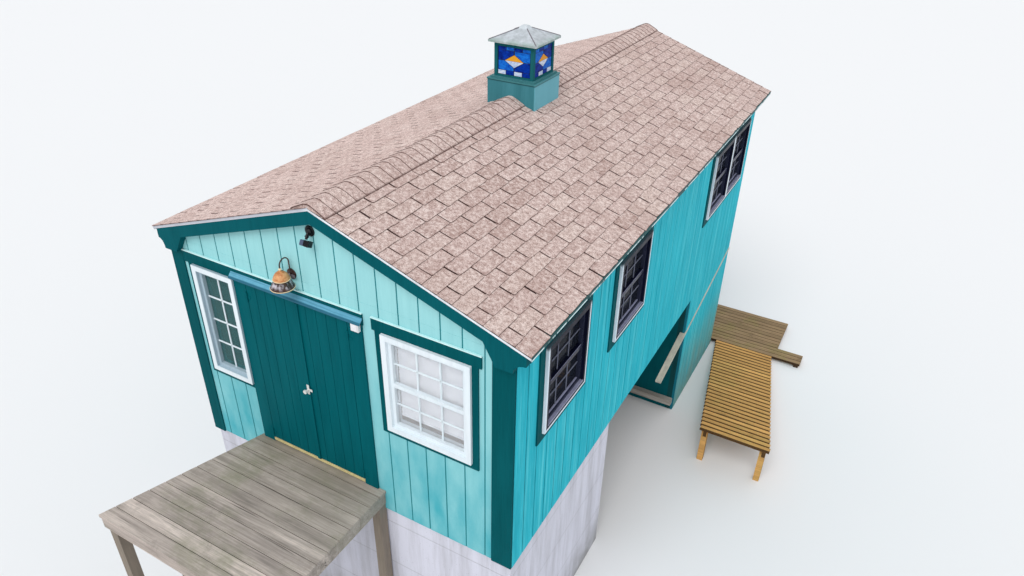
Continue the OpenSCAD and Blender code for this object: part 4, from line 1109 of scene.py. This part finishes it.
def make_roof_edges():
    over = 0.0015  # how far the metal's upper face lies over the roof's
    drips, eaves = bmesh.new(), bmesh.new()
    for side in (1, -1):
        end = ROOF_X + side * ROOF_HALF
        top0, top1 = roof_top(ROOF_X), roof_top(end)
        for face, inner in ((RAKE_Y0, 1), (RAKE_Y1, -1)):
            upper = [(ROOF_X, top0 + over), (end, top1 + over)]
            skirt = upper + [(end, top1 - 0.030), (ROOF_X, top0 - 0.030)]
            flange = upper + [(end, top1 + 0.0001), (ROOF_X, top0 + 0.0001)]
            merge(drips, prism(skirt, *sorted((face - inner * 0.004, face - inner * 0.0004))))
            merge(drips, prism(flange, *sorted((face - inner * 0.0004, face + inner * 0.05))))
        near = end - side * 0.05
        skin = 0.003 if side > 0 else -0.001
        outer, back = end + skin, end + skin / 6
        lip = [(near, roof_top(near) + over), (outer, top1 + over), (outer, top1 - 0.040)]
        lip += [(back, top1 - 0.040), (back, top1 - 0.001), (near, roof_top(near) - 0.001)]
        merge(eaves, prism(lip, RAKE_Y0 + 0.0005, RAKE_Y1 - 0.0005))
    metal = sheet_metal("drip_edge_metal", srgb(238, 242, 248), srgb(176, 178, 188))
    link("drip_edges", drips, metal)
    link("eave_edges", eaves, eave_metal("eave_metal"))
    dress(trim_paint(), "rake_boards", "fascia_boards")

    tones = (srgb(206, 240, 240), srgb(226, 248, 248), srgb(140, 196, 198))
    pale = plain_paint("pale_flashing", *tones, 0.5, 0.4, 0.3)
    top = high("corner_boards").z
    edge = CASING + SASH
    lo, hi = WIDE_PANE
    strips = [
        ((x0, FRONT_Y - 0.0235, top - 0.0005), (x1, FRONT_Y, top + 0.010))
        for x0, x1 in ((0.154 - HALF_W, DOOR_X1 + 0.164), (lo.x - edge - 0.105, hi.x + edge + 0.092))
    ]
    boxes("flashing", strips, pale, 0.001)


class BOATHOUSE_OT_roof_edges(bpy.types.Operator):
    """Adds the metal edges and flashing."""

    bl_idname = "boathouse.roof_edges"
    bl_label = "Roof edges"

    def execute(self, context):
        make_roof_edges()
        return {"FINISHED"}


# Windows


def screen_strips(wall, lo, hi):
    """Boxes of a dark screen frame that lines a window and laps onto its casing, and those of its sill. The frame
    is partly painted shade, laid over the reveal and the casing.
    """
    axis, outward, face = WALLS[wall]
    u0, u1 = lo[1 - axis] - SASH, hi[1 - axis] + SASH
    z0, z1 = lo.z - SASH, hi.z + SASH
    deep = (face + outward * 0.002, face + outward * 0.0495)
    flat = (face + outward * 0.047, face + outward * 0.0495)
    # The laps, widest at the head, lay painted shade over the casing.
    lap, head = 0.027, 0.05
    around = [
        ((u0 - 0.001, u0 + 0.002), deep, (z0, z1)),
        ((u1 - 0.002, u1 + 0.001), deep, (z0, z1)),
        ((u0, u1), deep, (z1 - 0.002, z1 + 0.001)),
        ((u0 - lap, u0), flat, (z0 - lap, z1 + head)),
        ((u1, u1 + lap), flat, (z0 - lap, z1 + head)),
        ((u0, u1), flat, (z0 - lap, z0)),
        ((u0, u1), flat, (z1, z1 + head)),
    ]
    sill = [
        ((u0 + 0.002, u1 - 0.002), deep, (z0 - 0.001, z0 + 0.005)),
        ((u0 + 0.002, u1 - 0.002), flat, (z0 + 0.005, z0 + 0.013)),
    ]
    return [[wall_box(wall, *item) for item in items] for items in (around, sill)]


def window_parts(wall, width):
    """Boxes of the bars over a wall's panes and, but for the front, of the rails, screen frames and sills."""
    axis, outward, _ = WALLS[wall]
    bars, rails, screens, sills = [], [], [], []
    for lo, hi in WALL_PANES[wall]:
        glass = hi[axis] if outward > 0 else lo[axis]
        u0, u1, z0, z1 = lo[1 - axis], hi[1 - axis], lo.z, hi.z

        def bar(along, up, out=0.0, deep=None):
            """A bar that stands past the others by out, and reaches in to the glass or only as far as deep."""
            tip = glass + outward * 0.012 + outward * out
            return wall_box(wall, along, (tip - outward * deep if deep else glass, tip), up)

        narrow = wall == "front" and u1 - u0 < 0.5
        uprights, levels = (2, (0.25, 0.5, 0.75)) if narrow else (3, (0.25, 0.75))
        for i in range(1, uprights):
            u = u0 + (u1 - u0) * i / uprights
            bars.append(bar((u - width / 2, u + width / 2), (z0 - 0.004, z1 + 0.004)))
        for level in levels:
            z = z0 + (z1 - z0) * level
            bars.append(bar((u0 - 0.004, u1 + 0.004), (z - width / 2, z + width / 2)))
        if wall != "front":
            across, z = (u0 - 0.002, u1 + 0.002), (z0 + z1) / 2
            screens.append(bar(across, (z + 0.012, z + 0.023), 0.019))
            rails.append(bar(across, (z + 0.012, z + 0.024), 0.022, 0.004))
            rails.append(bar(across, (z0 - 0.026, z0 - 0.014), 0.018))
            rails.append(bar(across, (z0 - 0.004, z0 + 0.006), 0.006))
            around, sill = screen_strips(wall, lo, hi)
            screens += around
            sills += sill
    return bars, rails, screens, sills


def make_window_bars():
    size = sizes()
    white = plain_paint("frame_white", tint("white"), srgb(250, 251, 253), srgb(168, 174, 184), 0.35, 0.3, 0.25)
    # On the side and back windows the bars, rails and sills are grey and lavender for painted shade, and the
    # screen frames are partly painted shade.
    grey = (srgb(112, 116, 134), srgb(142, 146, 164), srgb(74, 76, 94))
    pale = (srgb(158, 160, 188), srgb(184, 186, 210), srgb(92, 92, 116))
    dark = (srgb(14, 18, 40), srgb(26, 32, 60), srgb(6, 8, 18))
    bar_shade_paint = plain_paint("bar_grey", *grey, 0.4, 0.3, 0.4, gloss=0.15)
    rail = plain_paint("rail_grey", *pale, 0.4, 0.3, 0.5, gloss=0.15)
    screen = plain_paint("screen_frame", *dark, 0.4, 0.3, 0.5, gloss=0.1)
    for wall in WALLS:
        is_front = wall == "front"
        bars, rails, screens, sills = window_parts(wall, size.bar if is_front else size.thin_bar)
        boxes(wall + "_window_bars", bars, white if is_front else bar_shade_paint)
        if is_front:
            dress(front_frame_white("front_frame_white"), "front_window_frames")
            continue
        boxes(wall + "_meeting_rails", rails, rail)
        boxes(wall + "_screen_frames", screens, screen, 0.0)
        boxes(wall + "_sills", sills, rail, 0.0)
        dress(recessed_white(wall + "_frame_white"), wall + "_window_frames")
    dress(glass_finish("window_pane", (WIDE_PANE[0].x - 0.01, WIDE_PANE[1].x + 0.01)), "window_glass")
    dress(corner_paint(), "window_surrounds", "corner_boards")


class BOATHOUSE_OT_window_bars(bpy.types.Operator):
    """Adds the bars across the windows' glass, with their rails, screens and sills."""

    bl_idname = "boathouse.window_bars"
    bl_label = "Window bars"

    def execute(self, context):
        make_window_bars()
        return {"FINISHED"}


def make_blind():
    size = sizes()
    lo, hi = low("window_blind"), high("window_blind")
    mid = (lo.y + hi.y) / 2
    white = (srgb(246, 248, 252), srgb(255, 255, 255), srgb(214, 218, 230))
    paint = plain_paint("blind_slats", *white, 0.4, 0.25, 0.3, gloss=0.1)
    bm = bmesh.new()
    box_into(bm, (lo.x, -size.slat / 2, -0.0015), (hi.x, size.slat / 2, 0.0015), 0.0008)
    bmesh.ops.rotate(bm, verts=bm.verts, cent=(0, 0, 0), matrix=Matrix.Rotation(math.radians(74), 3, "X"))
    count = int((hi.z - lo.z - 0.03) / size.slat_step)
    step, wander, turn = (0, 0, size.slat_step), (0.0, 0.0, 0.001), (0.02, 0.0, 0.0)
    mesh = set_out("blind", bm, paint, across=count, step_across=step, wander=wander, turn=turn, seed=3)
    mesh.transform(Matrix.Translation((0, mid + 0.02, lo.z + 0.03)))
    bm = bmesh.new()
    bm.from_mesh(mesh)
    box_into(bm, (lo.x, mid, hi.z - 0.03), (hi.x, mid + 0.04, hi.z), 0.003)
    box_into(bm, (lo.x, mid + 0.005, lo.z), (hi.x, mid + 0.035, lo.z + 0.018), 0.003)
    piece = link("blind", bm, paint)
    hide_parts("window_blind")


class BOATHOUSE_OT_blind(bpy.types.Operator):
    """Hangs the slatted blind in the front window."""

    bl_idname = "boathouse.blind"
    bl_label = "Blind"

    def execute(self, context):
        make_blind()
        return {"FINISHED"}


# Doors


def make_door_details():
    tones = (tint("door"), srgb(14, 106, 112), srgb(0, 56, 64))
    door = painted_boards("door_paint", *tones, 0.35, 0.35, 0.48, fibre_depth=0.2)
    dress(door, "door_left", "door_right", "door_casing")
    dress(timber_finish("threshold_wood", srgb(228, 210, 150), (0.08, 1, 1), 0.3), "door_threshold")
    dress(hood_finish("hood_top_coat"), "door_hood")
    zinc = (srgb(232, 232, 228), srgb(250, 250, 248), srgb(120, 116, 108))
    dress(plain_paint("zinc_plate", *zinc, 0.35, 0.4, 0.4, 0.2), "door_latch")
    x1, z1 = high("door_hood").x, low("door_hood").z
    block = [
        ((x1 - 0.104, FRONT_Y - 0.058, z1 - 0.078), (x1 - 0.020, FRONT_Y - 0.025, z1 + 0.010)),
        ((x1 - 0.094, FRONT_Y - 0.063, z1 - 0.066), (x1 - 0.030, FRONT_Y - 0.057, z1 - 0.004)),
        ((x1 - 0.070, FRONT_Y - 0.066, z1 - 0.044), (x1 - 0.054, FRONT_Y - 0.062, z1 - 0.030)),
    ]
    white = (srgb(232, 230, 232), srgb(246, 246, 248), srgb(150, 148, 152))
    boxes("hood_junction_box", block, plain_paint("block_white", *white, 0.4, 0.4, 0.4))


class BOATHOUSE_OT_door_details(bpy.types.Operator):
    """Finishes the doors, their casing and the hood."""

    bl_idname = "boathouse.door_details"
    bl_label = "Door details"

    def execute(self, context):
        make_door_details()
        return {"FINISHED"}


# Lights


def lamp_foot():
    """The upright line through the middle of the lamp's shade, and the height of its lower edge."""
    lo, hi = low("door_lamp"), high("door_lamp")
    return (lo.x + hi.x) / 2, lo.y + (hi.x - lo.x) / 2, lo.z


def circle(count):
    """Cosine and sine of evenly spaced angles."""
    return [(math.cos(2 * math.pi * i / count), math.sin(2 * math.pi * i / count)) for i in range(count)]


def sweep_ring(bm, centre, radius, thick, around=36, sides=8):
    """A round bar bent into a flat ring."""
    x, y, z = centre
    section = [(radius + thick * c, thick * d) for c, d in circle(sides)]
    loops = [[bm.verts.new((x + r * c, y + r * d, z + up)) for r, up in section] for c, d in circle(around)]
    for a, b in zip(loops, loops[1:] + loops[:1]):
        for j in range(sides):
            k = (j + 1) % sides
            bm.faces.new((a[j], b[j], b[k], a[k]))


def turned(bm, start, end, profile, around=28):
    """A solid turned about the line from start to end: profile gives (share along the line, radius)."""
    start, end = Vector(start), Vector(end)
    axis = (end - start).normalized()
    side = axis.orthogonal().normalized()
    other = axis.cross(side)
    loops = [
        [bm.verts.new(start.lerp(end, share) + radius * (side * c + other * d)) for c, d in circle(around)]
        for share, radius in profile
    ]
    for a, b in zip(loops, loops[1:]):
        for i in range(around):
            j = (i + 1) % around
            bm.faces.new((a[i], a[j], b[j], b[i]))
    bm.faces.new(list(reversed(loops[0])))
    bm.faces.new(loops[-1])


def make_lamp_rims():
    cx, cy, z0 = lamp_foot()
    bm = bmesh.new()
    sweep_ring(bm, (cx, cy, z0 + 0.004), 0.1035, 0.0038)
    sweep_ring(bm, (cx, cy, z0 + 0.083), 0.0725, 0.0036)
    turned(bm, (cx, cy, z0 + 0.168), (cx, cy, z0 + 0.186), [(0.0, 0.012), (0.4, 0.014), (1.0, 0.008)], 16)
    cream = (srgb(240, 216, 172), srgb(250, 236, 206), srgb(176, 128, 84))
    link("lamp_rims", bm, plain_paint("lamp_rim_cream", *cream, 0.4, 0.4, 0.4))


def make_floodlight():
    """Wall plate, neck and a finned head that leans down, in place of the model's plain one."""
    lo, hi = low("floodlight"), high("floodlight")
    plate = Vector(((lo.x + hi.x) / 2, FRONT_Y - 0.004, hi.z - 0.048))
    bm = bmesh.new()
    neck = [(0.0, 0.012), (0.45, 0.013), (0.5, 0.018), (0.65, 0.018), (0.7, 0.012), (1.0, 0.011)]
    for start, end, profile, around in (
        ((0, 0, 0), (0, -0.014, 0), [(0.0, 0.048), (0.7, 0.048), (1.0, 0.043)], 28),
        ((0, -0.014, 0), (0, -0.030, 0), [(0.0, 0.033), (0.6, 0.032), (1.0, 0.024)], 20),
        ((0, -0.026, -0.006), (0.004, -0.062, -0.052), neck, 16),
    ):
        turned(bm, plate + Vector(start), plate + Vector(end), profile, around)

    head, lens = bmesh.new(), bmesh.new()
    box_into(head, (0.0, -0.030, -0.024), (0.046, 0.030, 0.026), 0.004)
    box_into(head, (-0.046, -0.027, -0.021), (0.0, 0.027, 0.023), 0.004)
    for i in range(5):
        x = 0.006 + i * 0.008
        box_into(head, (x, -0.0315, -0.020), (x + 0.003, 0.0315, 0.0275))
    box_into(lens, (-0.0475, -0.0285, -0.0225), (-0.004, 0.0285, 0.0245), 0.005)
    lean = Matrix.Translation(plate + Vector((0.016, -0.080, -0.078))) @ Matrix.Rotation(math.radians(-30), 4, "X")
    for shape in (head, lens):
        bmesh.ops.transform(shape, matrix=lean, verts=shape.verts)
    merge(bm, head)
    black = (srgb(6, 8, 14), srgb(14, 20, 32), srgb(2, 2, 4))
    piece = link("floodlight_body", bm, plain_paint("black_satin", *black, 0.3, 0.3, 0.2))
    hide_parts("floodlight")
    cover = (srgb(64, 76, 104), srgb(92, 104, 134), srgb(40, 48, 70))
    link("floodlight_lens", lens, plain_paint("lens_cover", *cover, 0.5, 0.3, 0.15, gloss=0.5))


class BOATHOUSE_OT_lights(bpy.types.Operator):
    """Finishes the door lamp and the floodlight."""

    bl_idname = "boathouse.lights"
    bl_label = "Lights"

    def execute(self, context):
        dress(lamp_finish("lamp_enamel"), "door_lamp")
        make_lamp_rims()
        make_floodlight()
        return {"FINISHED"}


# Cupola


def pane_row(tones, v0, v1):
    """Four panes side by side between two heights, in two tones by turns."""
    edges = [(-1.0 + 0.5 * i, -0.5 + 0.5 * i) for i in range(4)]
    return [(tones[i % 2], [(a, v0), (b, v0), (b, v1), (a, v1)]) for i, (a, b) in enumerate(edges)]


# The panes of one cupola window: a tone, and an outline in shares of half its width and height.
LEADED = [
    ("a", [(-0.60, 0.02), (0.0, 0.50), (0.60, 0.02), (0.0, 0.02)]),
    ("w", [(-0.60, 0.02), (0.0, 0.02), (0.60, 0.02), (0.0, -0.46)]),
    ("b", [(-1.0, 0.76), (0.0, 0.76), (0.0, 0.50), (-0.60, 0.02), (-1.0, 0.02)]),
    ("m", [(1.0, 0.76), (0.0, 0.76), (0.0, 0.50), (0.60, 0.02), (1.0, 0.02)]),
    ("m", [(-1.0, -0.70), (0.0, -0.70), (0.0, -0.46), (-0.60, 0.02), (-1.0, 0.02)]),
    ("b", [(1.0, -0.70), (0.0, -0.70), (0.0, -0.46), (0.60, 0.02), (1.0, 0.02)]),
    *pane_row("bm", 0.76, 1.0),
    *pane_row("wb", -1.0, -0.70),
]


def make_leaded_panes():
    tones = {
        "b": leaded_finish("glass_deep_blue", tint("blue"), srgb(2, 18, 96)),
        "m": leaded_finish("glass_mid_blue", srgb(30, 126, 226), srgb(4, 60, 170)),
        "a": leaded_finish("glass_amber", tint("amber"), srgb(236, 150, 60)),
        "w": leaded_finish("glass_white", srgb(226, 232, 242), srgb(150, 178, 222)),
    }
    lo, hi = low("cupola_glass"), high("cupola_glass")
    half_u = (high("cupola_lantern").x - low("cupola_lantern").x) / 2 - 0.043
    half_v = (hi.z - lo.z) / 2 - 0.003
    lead = 0.93  # a pane's share of its outline; the rest is the lead line
    for key, material in tones.items():
        bm = bmesh.new()
        for quarter in range(4):
            flip, reach = (-1, (hi.x - lo.x) / 2) if quarter % 2 else (1, (hi.y - lo.y) / 2)
            place = Matrix.Translation((lo + hi) / 2) @ Matrix.Rotation(quarter * math.pi / 2, 4, "Z")
            for tone, points in LEADED:
                if tone != key:
                    continue
                outline = [(u * half_u * flip, v * half_v) for u, v in points]
                cu, cv = (sum(values) / len(outline) for values in zip(*outline))
                small = [(cu + (u - cu) * lead, cv + (v - cv) * lead) for u, v in outline]
                pane = prism(small, -reach - 0.003, -reach + 0.0005)
                bmesh.ops.transform(pane, matrix=place, verts=pane.verts)
                merge(bm, pane)
        link("leaded_" + material.name, bm, material)


def make_cupola_hips():
    lo, hi = low("cupola_roof"), high("cupola_roof")
    half, mid = (hi.x - lo.x) / 2 - 0.006, (lo + hi) / 2
    bm = bmesh.new()
    for sx in (-1, 1):
        for sy in (-1, 1):
            foot = (mid.x + sx * half, mid.y + sy * half, lo.z + 0.0235)
            head = (mid.x + sx * 0.050, mid.y + sy * 0.050, lo.z + 0.1275)
            turned(bm, foot, head, [(0.0, 0.0065), (1.0, 0.0055)], 6)
    metal = (srgb(104, 98, 104), srgb(150, 148, 156), srgb(60, 58, 60))
    link("cupola_hips", bm, plain_paint("hip_metal", *metal, 0.5, 0.5, 0.5))


class BOATHOUSE_OT_cupola(bpy.types.Operator):
    """Finishes the cupola and its glass."""

    bl_idname = "boathouse.cupola"
    bl_label = "Cupola"

    def execute(self, context):
        lantern = (srgb(24, 96, 102), srgb(52, 128, 134), srgb(4, 52, 58))
        lead = (srgb(20, 22, 34), srgb(34, 36, 52), srgb(8, 8, 14))
        dress(cupola_paint("cupola_paint"), "cupola_base")
        dress(painted_boards("lantern_paint", *lantern, 0.4, 0.4, 0.5), "cupola_lantern")
        dress(cupola_metal("cupola_sheet_metal"), "cupola_roof")
        dress(plain_paint("lead_sheet", *lead, 0.4, 0.3, 0.4), "cupola_glass")
        make_leaded_panes()
        make_cupola_hips()
        return {"FINISHED"}


# Decks and ground floor


def make_decks():
    start = low("front_deck").y
    deck = plank_finish(
        "deck_planks",
        tint("plank"),
        start,
        sizes().board_step,
        moss=(srgb(116, 122, 88), 0.45),
        cracks=1.0,
        along=(0.08, 2.0, 2.0),
        fade=(start + 0.5, FRONT_Y, srgb(120, 114, 98), 0.7),
        depth=0.28,
    )
    dress(deck, "front_deck")
    for node, name, count, rgb, moss, gap in (
        ("back_landing", "landing_planks", 12, srgb(160, 134, 102), (srgb(128, 128, 60), 0.4), 0.13),
        ("side_ramp", "ramp_planks", 28, tint("fresh"), (srgb(176, 160, 90), 0.3), 0.24),
    ):
        start, end = low(node).y, high(node).y
        dress(plank_finish(name, rgb, start, (end - start) / count, moss=moss, gap=gap), node)
    floor = plank_finish("floor_boards", srgb(168, 134, 92), FRONT_Y, 0.14, "X", cracks=0.2, along=(1, 0.07, 1))
    dress(floor, "floor")
    dress(bay_finish("bay_timber_wood"), "bay_timber")
    dress(timber_finish("post_timber", srgb(138, 126, 112), (1, 1, 0.08)), "deck_posts")
    dress(timber_finish("rail_wood", srgb(212, 212, 196), (1, 0.08, 1)), "sloping_rail")
    dress(timber_finish("joist_wood", srgb(150, 116, 78), (0.08, 1, 1), 0.3), "floor_joists")
    dress(concrete_finish("poured_concrete"), "foundation_front", "foundation_sides")


class BOATHOUSE_OT_decks(bpy.types.Operator):
    """Finishes the decks, the floor and the concrete."""

    bl_idname = "boathouse.decks"
    bl_label = "Decks and base"

    def execute(self, context):
        make_decks()
        return {"FINISHED"}


# Stage


def make_world():
    """A soft sky that lights the part, and a plain pale one that the camera and reflections see."""
    world = bpy.data.worlds.new("soft_sky")
    bpy.context.scene.world = world
    world.use_nodes = True
    world.node_tree.nodes.clear()
    s = Shade(world.node_tree)
    path = s.node("ShaderNodeLightPath").outputs
    seen = s.maths("MAXIMUM", path["Is Camera Ray"], path["Is Glossy Ray"])
    seen = s.maths("MAXIMUM", seen, path["Is Transmission Ray"])
    lit = s.node("ShaderNodeBackground", {"Color": (0.93, 0.96, 1.0), "Strength": 0.80}).outputs[0]
    shown = s.node("ShaderNodeBackground", {"Color": (0.95, 0.95, 0.95), "Strength": 1.0}).outputs[0]
    both = s.node("ShaderNodeMixShader", {0: seen, 1: lit, 2: shown}).outputs[0]
    s.node("ShaderNodeOutputWorld", {"Surface": both})


def make_stage():
    scene = bpy.context.scene
    scene.view_settings.view_transform = "Standard"
    bm = bmesh.new()
    bmesh.ops.create_grid(bm, x_segments=2, y_segments=2, size=80)
    mesh = mesh_from(bm, "floor_sheet")
    mesh.materials.append(floor_sheet_finish("pale_floor"))
    ground = bpy.data.objects.new("floor_sheet", mesh)
    scene.collection.objects.link(ground)
    make_world()

    sun = bpy.data.lights.new("soft_sun", "SUN")
    sun.energy = 1.45
    sun.angle = math.radians(35)
    lamp = bpy.data.objects.new("soft_sun", sun)
    lamp.rotation_euler = (math.radians(38), math.radians(-8), math.radians(16))
    scene.collection.objects.link(lamp)

    camera = bpy.data.cameras.new("camera")
    camera.lens = 26.317
    camera.sensor_width = 36.0
    camera.clip_end = 400
    eye = bpy.data.objects.new("camera", camera)
    eye.location = (3.951, FRONT_Y - 3.928, FLOOR_Z + 5.467)
    eye.rotation_euler = (1.0168, -0.0189, 0.5096)
    scene.collection.objects.link(eye)
    scene.camera = eye


class BOATHOUSE_OT_stage(bpy.types.Operator):
    """Sets the floor, the sky, the lamp and the camera."""

    bl_idname = "boathouse.stage"
    bl_label = "Stage"

    def execute(self, context):
        make_stage()
        return {"FINISHED"}


OPERATORS = [
    BOATHOUSE_OT_siding,
    BOATHOUSE_OT_shingles,
    BOATHOUSE_OT_ridge,
    BOATHOUSE_OT_roof_edges,
    BOATHOUSE_OT_window_bars,
    BOATHOUSE_OT_blind,
    BOATHOUSE_OT_door_details,
    BOATHOUSE_OT_lights,
    BOATHOUSE_OT_cupola,
    BOATHOUSE_OT_decks,
    BOATHOUSE_OT_stage,
]


class BOATHOUSE_PT_panel(bpy.types.Panel):
    """Lists the pieces of the boathouse, with its sizes and colours."""

    bl_label = "Boathouse"
    bl_idname = "BOATHOUSE_PT_panel"
    bl_space_type = "VIEW_3D"
    bl_region_type = "UI"
    bl_category = "Boathouse"

    def draw(self, context):
        layout = self.layout
        for kind in OPERATORS:
            layout.operator(kind.bl_idname)
        for held in (context.scene.boathouse_sizes, context.scene.boathouse_colours):
            box = layout.box()
            for key in held.__annotations__:
                box.prop(held, key)


CLASSES = [BoathouseSizes, BoathouseColours, *OPERATORS, BOATHOUSE_PT_panel]


def register():
    for kind in CLASSES:
        bpy.utils.register_class(kind)
    bpy.types.Scene.boathouse_sizes = bpy.props.PointerProperty(type=BoathouseSizes)
    bpy.types.Scene.boathouse_colours = bpy.props.PointerProperty(type=BoathouseColours)


def unregister():
    del bpy.types.Scene.boathouse_colours
    del bpy.types.Scene.boathouse_sizes
    for kind in reversed(CLASSES):
        bpy.utils.unregister_class(kind)


def main():
    register()
    for kind in OPERATORS:
        name = kind.bl_idname.split(".")[1]
        getattr(bpy.ops.boathouse, name)()


if __name__ == "__main__":
    main()
